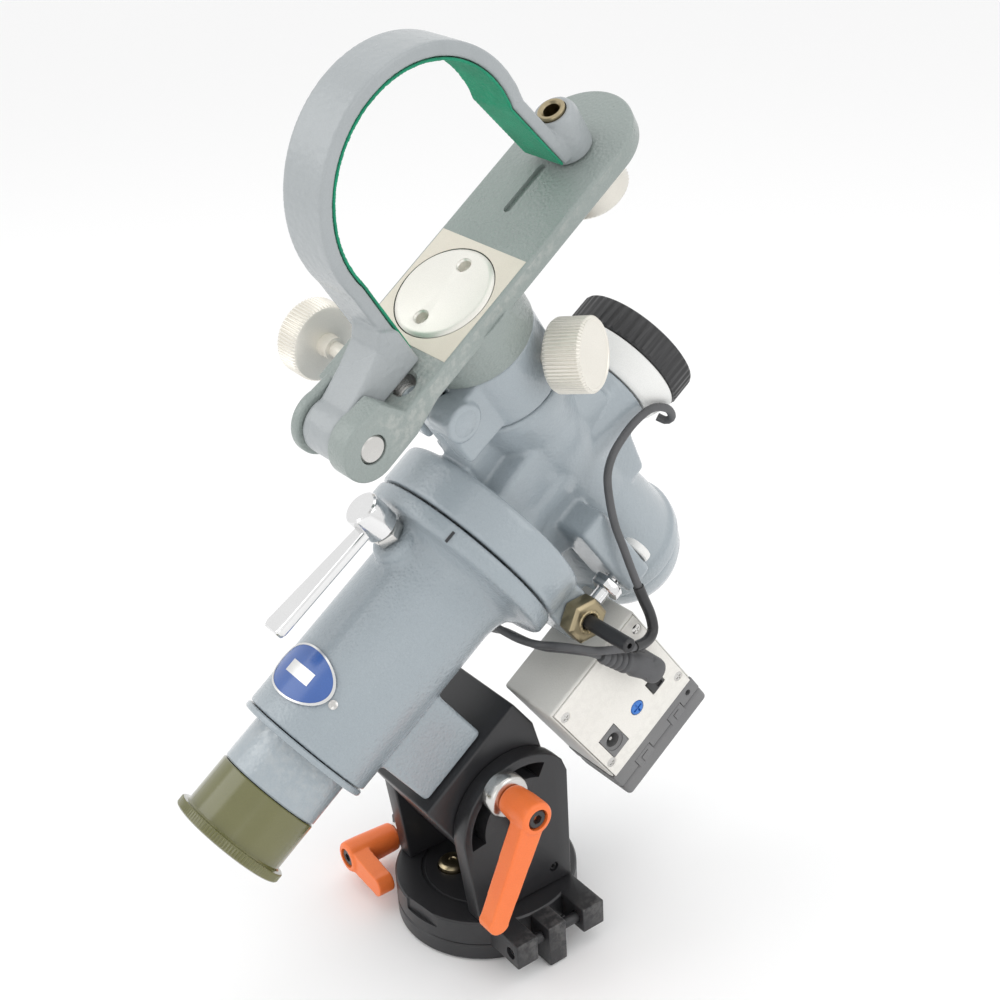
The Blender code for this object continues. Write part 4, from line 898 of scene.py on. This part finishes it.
def makeHead():
    radius, top, web = head["radius"], head["top"], head["web"]
    table = turned([(0, top + 1.4), (38.6, top + 1.4), (40.4, top + 0.6), (radius, top - 0.9), (radius, 2.2),
                    (radius - 0.5, 1.8), (0, 1.8)], steps=160)
    barrel = turned([(0, 46), (21.8, 46), (22.5, 45.2), (22.5, 40), (20.5, 26), (19.5, 0), (20.5, -26),
                     (23.6, -46), (26.5, -66), (28, -68), (28, -74.6), (27.4, -75.6), (0, -76)], steps=128)
    port = turned([(0, 85.5), (20.4, 85.5), (21, 84.9), (20.4, 76), (19.0, 60), (18, 30), (20, top - 1.4),
                   (0, top - 1.4)], steps=128)
    rib = sheetCut([(top - 1, 25), (40, 28), (75.3, 28), (78, 12), (78, -12), (75.3, -34), (40, -34),
                    (top - 1, -25)],
                   -web, web, 2.2, 4)
    moved(rib, Matrix(((0, 0, 1, 0), (0, -1, 0, 0), (1, 0, 0, 0), (0, 0, 0, 1))))
    toHead = headAt.inverted() @ polarAt
    decToHead = headAt.inverted() @ decAt
    moved(barrel, decToHead)
    wormHouse = block((-20, 26, 1.9), (30.2, 48, 18.0), 1.6)
    lug = block((6, 14, 31), (31, 54, 44), 1.8)
    bridge = block((-6, 44, 5.5), (24, 56.8, 17.5), 1.0)
    for item in (wormHouse, lug, bridge):
        moved(item, toHead)
    tongue = block((-32.5, -4.5, 30), (-22.6, 4.5, 71.4), 1.0)
    tongueRoot = block((-32.5, -7.5, 24), (-18, 7.5, 45.1), 1.2)
    for item in (tongue, tongueRoot):
        moved(item, decToHead)
    shape = cast([table, barrel, port, rib, wormHouse, lug, bridge, tongue, tongueRoot], head["voxel"], 4)
    wormBore = moved(rod(6.6, -16, 60, (0, 37.5, 9.5), (1, 0, 0), 48), toHead)
    adjusterBore = moved(rod(3.3, 20, 60, (25, 46.5, 0), steps=32), toHead)
    decBore = moved(rod(15.5, -90, 90, steps=96), decToHead)
    cut(shape, rod(33.4, -5, 14.5, steps=96), rod(15.3, -5, 16.3, steps=64), rod(11.0, -5, 100, steps=64),
        decBore,
        wormBore, adjusterBore)
    place(shape, "headCasting", headAt, "ra_head", "smoothPaint", ["head_casting"], smooth=55)
    # a plain raised lozenge stands on the web where the maker's sign would be
    lozenge = sheetCut([(-5.2, 0), (0, -4.4), (5.2, 0), (0, 4.4)], -0.2, 0.45, 0.3)
    moved(lozenge, Matrix.Translation((web, 6.0, 52.0)) @ Matrix(((0, 0, 1, 0), (1, 0, 0, 0), (0, 1, 0, 0),
                                                                  (0, 0, 0, 1))))
    place(lozenge, "webLozenge", headAt, "ra_head", "smoothPaint")
    cap = turned([(26.0, -76.3), (26.3, -76.8), (26.3, -79), (25.6, -84.6), (23.6, -89.2), (20.4, -92.4),
                  (15.8, -94.4), (10.0, -95.4), (0, -95.6), (0, -91), (14, -90.2), (19, -87.4), (20, -84),
                  (20, -76.3), (26.0, -76.3)], steps=128)
    place(cap, "decEndCap", decAt, "ra_head", "smoothPaint", ["dec_end_cap"], smooth=40)


portCap = {"radius": 26.0, "low": 97.3, "high": 109.0, "flutes": 44}


def makePort():
    lit = turned([(25.1, 97.0), (25.5, 96.5), (25.2, 95.2), (22.4, 87.6), (21.6, 86.4), (21, 85.9),
                  (11.5, 85.9), (11.5, 97.0), (25.1, 97.0)], steps=128)
    place(lit, "litRing", headAt, "ra_head", "whitePlastic", ["illuminator_ring"])
    radius, low, high = portCap["radius"], portCap["low"], portCap["high"]
    cap = ribbed([(0, high - 1.2), (21.6, high - 1.2), (22.4, high - 0.6), (23.2, high), (24.6, high),
                  (25.6, high - 0.5),
                  (radius, high - 1.4), (radius, low + 1.2), (25.4, low + 0.3), (24.8, low), (0, low)],
                 portCap["flutes"], low + 1.1, high - 1.2, 0.55, minRadius=25.7, columns=6)
    place(cap, "portCap", headAt, "front_cap", "blackPlastic", ["port_cap"], smooth=30)


# ---- declination: clamp ring with its yoke, knobs and plunger
dec = {"low": 46.3, "high": 72.0, "reach": -27.0, "height": 65.5, "gap": 0.3}


def makeDec():
    low, high, height, reach = dec["low"], dec["high"], dec["height"], dec["reach"]
    spot = (reach, 0, height)
    band = turned([(0, high), (21.4, high), (22, high - 0.6), (22, low + 0.6), (21.4, low), (0, low)],
                  steps=128)
    parts = [band,
             turned([(0, 17.5), (6.6, 17.5), (7.4, 16.9), (7.4, 6.5), (0, 6.5)], spot, (0, -1, 0), 64),
             block((reach - 6.5, -16, low + 1), (-13.5, -6.7, high - 0.5), 1.5),
             turned([(0, 40), (5.8, 40), (6.6, 39.2), (6.6, 6.5), (0, 6.5)], spot, (0, 1, 0), 64),
             block((reach - 6.5, 6.7, low + 1), (-13.5, 16, high - 0.5), 1.5)]
    bearing = math.radians(mount["knobBearing"])
    out = Vector((math.sin(bearing), -math.cos(bearing), 0))
    middle = (0, 0, (low + high) / 2)
    yoke = cast(parts, 0.6, 4)
    cut(yoke, block((reach - 12, -6.4, low - 5), (-22.3, 6.4, high + 5)),
        rod(11.3, low - 5, high + 5, steps=96),
        rod(4.3, 0, 15.5, spot, (0, -1, 0), 32), rod(3.3, 0, 60, spot, (0, 1, 0), 32),
        rod(3.3, 9, 40, middle, out, 32))
    place(yoke, "decClampRing", decAt, "dec_fine_yoke", "smoothPaint", ["dec_clamp_ring"], smooth=50)
    knob = ribbed([(0, 40.6), (11.4, 40.6), (11.8, 41.0), (12.4, 40.9), (13.3, 39.9), (13.3, 28.2),
                   (12.6, 27.0),
                   (12, 26.6), (3, 26.6), (3, 13.2), (0, 13.2)], 60, 28.0, 40.2, 0.55, minRadius=13.2)
    place(laid(knob, middle, out), "decClampKnob", decAt, "dec_clamp", "ribbedAluminium",
          ["dec_clamp_knob"], smooth=30)
    tangent = ribbed([(0, 72.0), (12.8, 72.0), (13.2, 72.35), (14.25, 72.2), (15.15, 71.3), (15.18, 62.6),
                      (14.4, 61.4),
                      (13.6, 61), (4.6, 61), (4.4, 56), (2.9, 56), (2.9, 5.95), (0, 5.95)], 66, 62.4, 71.6,
                     0.6,
                     minRadius=15.1)
    place(laid(tangent, spot, (0, 1, 0)), "tangentKnob", decAt, "tangent_knob", "ribbedAluminium",
          ["tangent_screw"], smooth=30)
    endDisc = turned([(0, 17.7), (4.6, 17.7), (5.0, 17.45), (5.0, 15.8), (0, 15.8)], spot, (0, -1, 0), 48)
    place(endDisc, "plungerStop", decAt, "dec_fine_yoke", "smoothPaint")


# ---- saddle plate, its nut and its hinge
saddle = {"half": 21.4, "end": 93.3, "low": 88.4, "high": 96.2, "hinge": (-58.4, 97.0), "patch": 21.7}
cameraHole = {"at": (-34.4, -11.7, 0), "turns": 5, "start": 1.4, "pitch": 1.2}


def across(item):
    # a sheet drawn along and up, stood across the plate: its height becomes the way across
    return moved(item, Matrix(((1, 0, 0, 0), (0, 0, -1, 0), (0, 1, 0, 0), (0, 0, 0, 1))))


def makeSaddle():
    half, end, low, high = saddle["half"], saddle["end"], saddle["low"], saddle["high"]
    reach, rise = saddle["hinge"]
    plate = sheetCut([(-46, half), (-46, -half), *arc((end - half, 0), half, -90, 90, 48)], low, high, 1.1, 4)
    collar = ring(8, 22.5, dec["high"] + dec["gap"], low + 2, edge=0.5)
    ears = []
    for number, (near, far) in enumerate(((12.3, half), (-7.0, -3.2))):
        ear = sheetCut([(-44, rise - 11.6), (-30, low + 0.4), (-30, high - 0.4), (-42, high - 0.4),
                        (-47, rise + 10.2),
                        *arc((reach, rise), 11.6, 70, 270, 40)], near, far, 0.9)
        ears.append(across(ear))
    joined(plate, collar, *ears)
    cut(plate,
        rod(18.7, high - 4.5, high + 5, steps=128), rod(11.3, 60, high + 5, steps=96),
        turned([(0, 110), (5.4, 110), (5.4, high), (4.4, high - 1.0), (4.4, 80), (0, 80)], cameraHole["at"],
               steps=48),
        rod(5.2, -30, 30, (reach, 0, rise), (0, 1, 0), 64),
        rod(4.0, 80, 110, (67.0, -3.0, 0), steps=48),
        sheetCut([*arc((56.5, 2.3), 1.5, -90, 90, 10), *arc((37.5, 2.3), 1.5, 90, 270, 10)], high - 1.6,
                 high + 2))
    place(plate, "saddlePlate", saddleAt, "saddle", "hammerPaint", ["saddle_plate"], smooth=34)
    thread = []
    for turn in range(cameraHole["turns"]):
        level = high - cameraHole["start"] - turn * cameraHole["pitch"]
        thread.append(turned([(4.4, level), (4.4, level - 0.9), (3.8, level - 0.45), (4.4, level)],
                             cameraHole["at"], steps=48))
    onlyPick(*thread)
    bpy.ops.object.join()
    place(bpy.context.object, "cameraThread", saddleAt, "saddle", "brightSteel", slotName="shaft_steel")
    patch = saddle["patch"]
    skin = sheetCut([(-patch, -half + 1.15), (patch, -half + 1.15), (patch, half - 1.15),
                     (-patch, half - 1.15)],
                    high - 0.05, high + 0.12, 0.05, 1)
    cut(skin, rod(18.7, high - 3, high + 3, steps=128))
    place(skin, "milledPatch", saddleAt, "saddle", "milledAluminium")
    nut = turned([(0, high + 1.2), (16.4, high + 1.2), (17.4, high + 0.9), (18.3, high), (18.3, high - 4.2),
                  (0, high - 4.2)], steps=128)
    for side in (-1, 1):
        cut(nut, turned([(0, high + 4), (2.9, high + 4), (2.9, high + 1.0), (2.4, high + 0.4),
                         (2.4, high - 2.4), (0, high - 2.4)], (11.5 * side, 0, 0), steps=40))
    place(nut, "decShaftNut", saddleAt, "saddle", "turnedAluminium", ["dec_shaft_nut"], smooth=30)
    pin = turned([(0, 21.2), (4.3, 21.2), (4.9, 20.6), (4.9, -7.3), (7.4, -7.3), (8, -7.9), (8, -9.9),
                  (7.4, -10.5), (0, -10.5)], (reach, 0, rise), (0, -1, 0), 64)
    place(pin, "hingePin", saddleAt, "saddle", "brightSteel", ["hinge_pin"])


# ---- the strap over the tube, its felt, insert and closing nut
strap = {"centre": 13.5, "height": 138.0, "inner": 38.3, "outer": 43.0, "half": 9.5, "clamp": (67.0, -3.0),
         "voxel": 0.6, "feltInner": 37.05, "feltOuter": 38.0}
strapClampAt = (*strap["clamp"], 0)


def strapOutline(inner, outer, footLow, count=72):
    centre = (strap["centre"], strap["height"])
    right = strap["centre"] + inner + 6.8
    left = strap["centre"] - inner
    thick = outer - inner
    return [(right + thick, footLow), *arc(centre, outer, -8, 188, count), (left - thick, footLow),
            (left, footLow),
            *arc(centre, inner, 188, -8, count), (right, footLow)]


def makeStrap():
    reach, rise = saddle["hinge"]
    half = strap["half"]
    footLow = saddle["high"] + 0.6
    band = across(sheetCut(strapOutline(strap["inner"], strap["outer"], saddle["high"] + 3), -half, half,
                           0.9))
    foot = across(sheetCut([(-24.6, footLow), (-24.6, 112), (-30, 118), (-34, 113), (-44, 109),
                            (reach + 4, rise + 9.2),
                            *arc((reach, rise), 10, 80, 290, 40), (-50, footLow)], -2.9, 12.0, 1.4))
    boss = turned([(0, 114), (6.4, 114), (7.2, 113.4), (8, 111), (8.2, footLow), (0, footLow)],
                  strapClampAt, steps=64)
    shape = cast([band, foot, boss], strap["voxel"], 3)
    cut(shape, rod(5.2, -30, 30, (reach, 0, rise), (0, 1, 0), 64),
        rod(5.2, 80, 130, strapClampAt, steps=48))
    place(shape, "tubeStrap", saddleAt, "strap", "strapPaint", ["tube_strap"], smooth=55)
    felt = across(sheetCut(strapOutline(strap["feltInner"], strap["feltOuter"], saddle["high"] + 4, 110),
                           -half + 0.5, half - 0.5))
    useModifier(felt, "REMESH", mode="VOXEL", voxel_size=0.42, adaptivity=0.0)
    for point in felt.data.vertices:
        fuzz = noise.noise(point.co * 1.1) * 0.16 + noise.noise(point.co * 3.1) * 0.1
        centre = Vector((strap["centre"], point.co.y, strap["height"]))
        inward = (centre - point.co).normalized()
        if (point.co - centre).length < 37.6:
            point.co += inward * fuzz
    place(felt, "feltLining", saddleAt, "strap", "greenFelt", ["felt_lining"], smooth=60)
    insert = turned([(4.5, 115.3), (4.9, 114.9), (4.9, 100), (2.9, 100), (2.9, 114.6), (3.6, 115.3),
                     (4.5, 115.3)],
                    strapClampAt, steps=64)
    place(insert, "strapInsert", saddleAt, "strap", "agedBrass", ["strap_insert"])
    # the thumb nut has a diamond knurl cut by pulling every other point of its rim inwards
    steps, rows, knurl = 104, 12, 0.96
    lowest, highest = 76.2, saddle["low"] - 4.2
    rim = [(14, highest - (highest - lowest) * row / rows) for row in range(rows + 1)]
    nut = turned([(0, 99), (2.6, 99), (2.6, 87.4), (8.6, 87.4), (9, 87.0), (13.2, 84.9), *rim, (12.8, 74.8),
                  (0, 74.8)],
                 steps=steps)

    def inKnurl(co):
        if math.hypot(co.x, co.y) < 13.9:
            return False
        column = round(math.atan2(co.y, co.x) / (2 * math.pi) * steps)
        row = round((highest - co.z) / (highest - lowest) * rows)
        return (column + row) % 2 == 0

    pickPoints(nut, inKnurl)
    bpy.ops.transform.resize(value=(knurl, knurl, 1), center_override=(0, 0, 0))
    bpy.ops.object.mode_set(mode="OBJECT")
    laid(nut, strapClampAt)
    place(nut, "strapNut", saddleAt, "strap_closing_nut", "ribbedAluminium", ["strap_nut"], smooth=20)


makeHead()
makePort()
makeDec()
makeSaddle()
makeStrap()
print("head, saddle and strap ready")


# ---- the drive box beside the housing, with its panel and controls
drive = {"face": 34.1, "back": 4.1, "top": 57.1, "bottom": 110.0, "foot": 126.8, "start": -26.3, "end": 26.1,
         "wall": 2.2, "split": 118.55, "jack": (95.1, -15.4), "trimmer": (93.9, 0.8), "switch": (93.2, 13.2),
         "screws": ((64.0, -22.3), (64.6, 22.2), (102.4, -22.3), (102.6, 22.2)),
         "tabs": ((-15.4, -5.4), (6.4, 15.6)), "hole": (114.4, 20.8)}


def makeDriveBox():
    face, back, top, bottom, start, end, wall = (drive[key] for key in ("face", "back", "top", "bottom",
                                                                        "start", "end",
                                                                         "wall"))
    outward = (1, 0, 0)
    shell = block((back, top, start), (face, bottom, end), 1.3)
    cut(shell, block((back + wall, top + wall, start + wall), (face + 5, bottom + 5, end - wall)),
        block((face - 1.3, top + 1, start + 0.8), (face + 5, bottom + 5, end - 0.8)))
    # the shell wears the darker copy of the panel's cream: painted shade on the box's sides
    place(shell, "driveBox", polarAt, "ra_head", "boxSideShaded", ["motor_box"])
    panel = block((face - 1.0, top + 1.3, start + 1.1), (face + 0.6, bottom, end - 1.1), 0.35, 2)
    e, s = drive["jack"]
    cut(panel, block((face - 4, e - 6.9, s - 4.9), (face + 5, e + 6.9, s + 4.9)))
    jack = block((face - 9, e - 6.7, s - 4.7), (face + 0.9, e + 6.7, s + 4.7), 0.4, 2)
    cut(jack, turned([(0, face + 5), (4.4, face + 5), (4.4, face + 0.5), (3.2, face - 0.3), (3.2, face - 7),
                      (0, face - 7)], (0, e, s), outward, 48))
    place(jack, "powerJack", polarAt, "ra_head", "darkPlastic", ["power_jack"], slotName="black_plastic")
    pin = turned([(0, face - 1.4), (0.8, face - 1.5), (1.0, face - 2), (1.0, face - 7.4), (0, face - 7.4)],
                 (0, e, s),
                 outward, 24)
    place(pin, "jackPin", polarAt, "ra_head", "brightSteel")
    e, s = drive["trimmer"]
    cut(panel, rod(3.4, face - 4, face + 5, (0, e, s), outward, 48))
    trimmer = turned([(0, face + 0.9), (2.7, face + 0.9), (3.1, face + 0.5), (3.1, face - 4), (0, face - 4)],
                     steps=48)
    cut(trimmer, block((-2.3, -0.42, face + 0.1), (2.3, 0.42, face + 2)), block((-0.42, -2.3, face + 0.1),
                                                                             (0.42, 2.3, face + 2)))
    laid(trimmer, (0, e, s), outward)
    place(trimmer, "speedTrimmer", polarAt, "trimmer", "blueTrimmer", ["speed_trimmer"])
    e, s = drive["switch"]
    cut(panel, block((face - 4, e - 3.9, s - 3.9), (face + 5, e + 3.9, s + 3.9)))
    switch = block((face - 3, e - 3.6, s - 3.6), (face + 1.2, e + 3.6, s + 3.6), 0.5)
    cut(switch, block((face + 0.3, e - 2.5, s - 0.4), (face + 3, e + 2.5, s + 2.6), 0.3))
    place(switch, "driveSwitch", polarAt, "switch", "blackPlastic", ["drive_switch"])
    for number, (e, s) in enumerate(drive["screws"]):
        cut(panel, turned([(0, face + 3), (2.5, face + 3), (2.5, face + 0.6), (1.2, face - 0.6),
                           (1.2, face - 3), (0, face - 3)], (0, e, s), outward, 32))
        crossScrew(f"panelScrew{number}", (face + 0.3, e, s), outward, 2.15, polarAt, "ra_head", sunk=0.5)
    place(panel, "motorPanel", polarAt, "ra_head", "creamPanel", ["motor_panel"])


def makeDriveFoot():
    face, back, split, foot = (drive[key] for key in ("face", "back", "split", "foot"))
    start, end = drive["start"] - 0.2, drive["end"] + 0.2
    cover = block((back, 110.3, start), (face, split - 0.15, end), 0.7)
    base = block((back, split + 0.15, start), (face, foot, end), 2.0, 5)
    for low, high in drive["tabs"]:
        cut(cover, block((face - 1.3, 114.2, low), (face + 2, split + 2, high)))
        tab = block((face - 1.2, 114.5, low + 0.3), (face - 0.05, split + 1.6, high - 0.3), 0.15, 2)
        cut(tab, block((face - 0.5, 116.1, low + 3.0), (face + 1, 116.6, high - 2.6)),
            block((face - 0.5, 116.1, low + 3.0), (face + 1, split + 3, low + 3.5)))
        joined(base, tab)
    e, s = drive["hole"]
    cut(cover, rod(1.35, face - 4, face + 2, (0, e, s), (1, 0, 0), 32))
    place(cover, "motorCover", polarAt, "ra_head", "darkPlastic", ["motor_cover"])
    place(base, "motorFoot", polarAt, "ra_head", "darkPlastic", ["motor_foot"])


# ---- the worm's bearing cap and shaft, and the screw that sets the mesh
worm = {"at": (0, 37.5, 9.5), "adjuster": (25, 46.5, 0)}


def makeWorm():
    at, outward = worm["at"], (1, 0, 0)
    hexagon = turned([(0, 38), (7.6, 38), (9.2, 37.1), (9.2, 31.4), (8.4, 30.5), (0, 30.5)], steps=6)
    softened(hexagon, 0.3, 2, 20)
    neck = turned([(0, 32), (6.3, 32), (6.3, 18), (0, 18)], steps=64)
    lip = turned([(0, 38.5), (4.6, 38.5), (5.0, 38.1), (5.0, 36), (0, 36)], steps=64)
    cap = joined(hexagon, neck, lip)
    cut(cap, rod(3.2, 10, 50, steps=48), turned([(3.0, 39), (3.9, 39), (3.9, 38.2), (3.0, 37.4), (3.0, 39)],
                                                steps=48))
    place(laid(cap, at, outward), "wormCap", polarAt, "ra_head", "agedBrass", ["worm_bearing_cap"], smooth=30)
    shaft = turned([(0, 61), (2.5, 61), (2.9, 60.6), (2.9, 11), (5.6, 11), (5.6, -11), (2.9, -11),
                    (2.9, -15.5), (0, -15.5)], steps=64)
    cut(shaft, rod(1.25, 58.5, 65, steps=6))
    place(laid(shaft, at, outward), "wormShaft", polarAt, "worm", "blackAnodised", ["worm_shaft"],
          smooth=30, slotName="shaft_steel")
    spot = worm["adjuster"]
    bolt = turned([(0, 45), (3, 45), (3, 20), (0, 20)], spot, steps=48)
    nut = softened(turned([(0, 29.7), (5.8, 29.7), (6.5, 29.1), (6.5, 25.6), (5.8, 25), (0, 25)], steps=6),
                   0.2, 2, 20)
    place(joined(bolt, laid(nut, spot)), "meshAdjuster", polarAt, "ra_head", "chromePlate",
          ["mesh_adjuster"], smooth=30)
    button = turned([(0, 48), (4.6, 48), (5.6, 47.5), (6, 46.6), (6, 44.8), (5.6, 44.3), (0, 44.3)], spot,
                    steps=64)
    place(button, "adjusterButton", polarAt, "ra_head", "whitePlastic")


makeDriveBox()
makeDriveFoot()
makeWorm()
print("drive ready")

# ---- the parts inside keep their own meshes and get a finish each
inside = {"polar_shaft": "brightSteel", "polar_bush_lower": "bearingBronze",
          "polar_bush_upper": "bearingBronze",
          "worm_wheel": "bearingBronze", "polar_scope_tube": "blackAnodised",
          "polar_scope_objective": "clearLens",
          "polar_scope_eyepiece": "clearLens", "plunger_pin": "brightSteel", "plunger_spring": "brightSteel",
          "dec_shaft": "brightSteel", "dec_bush_lower": "bearingBronze", "dec_bush_upper": "bearingBronze",
          "drive_motor": "brightSteel", "motor_pinion": "agedBrass"}


def finishInside():
    left = [name for name in nodes if name not in done]
    for name in left:
        look = finishes[inside.get(name, "blackAnodised")]
        item = nodes[name]
        if not item.material_slots:
            item.data.materials.append(look)
        for slot in item.material_slots:
            slot.material = look
    print("carried over", sorted(left))


finishInside()
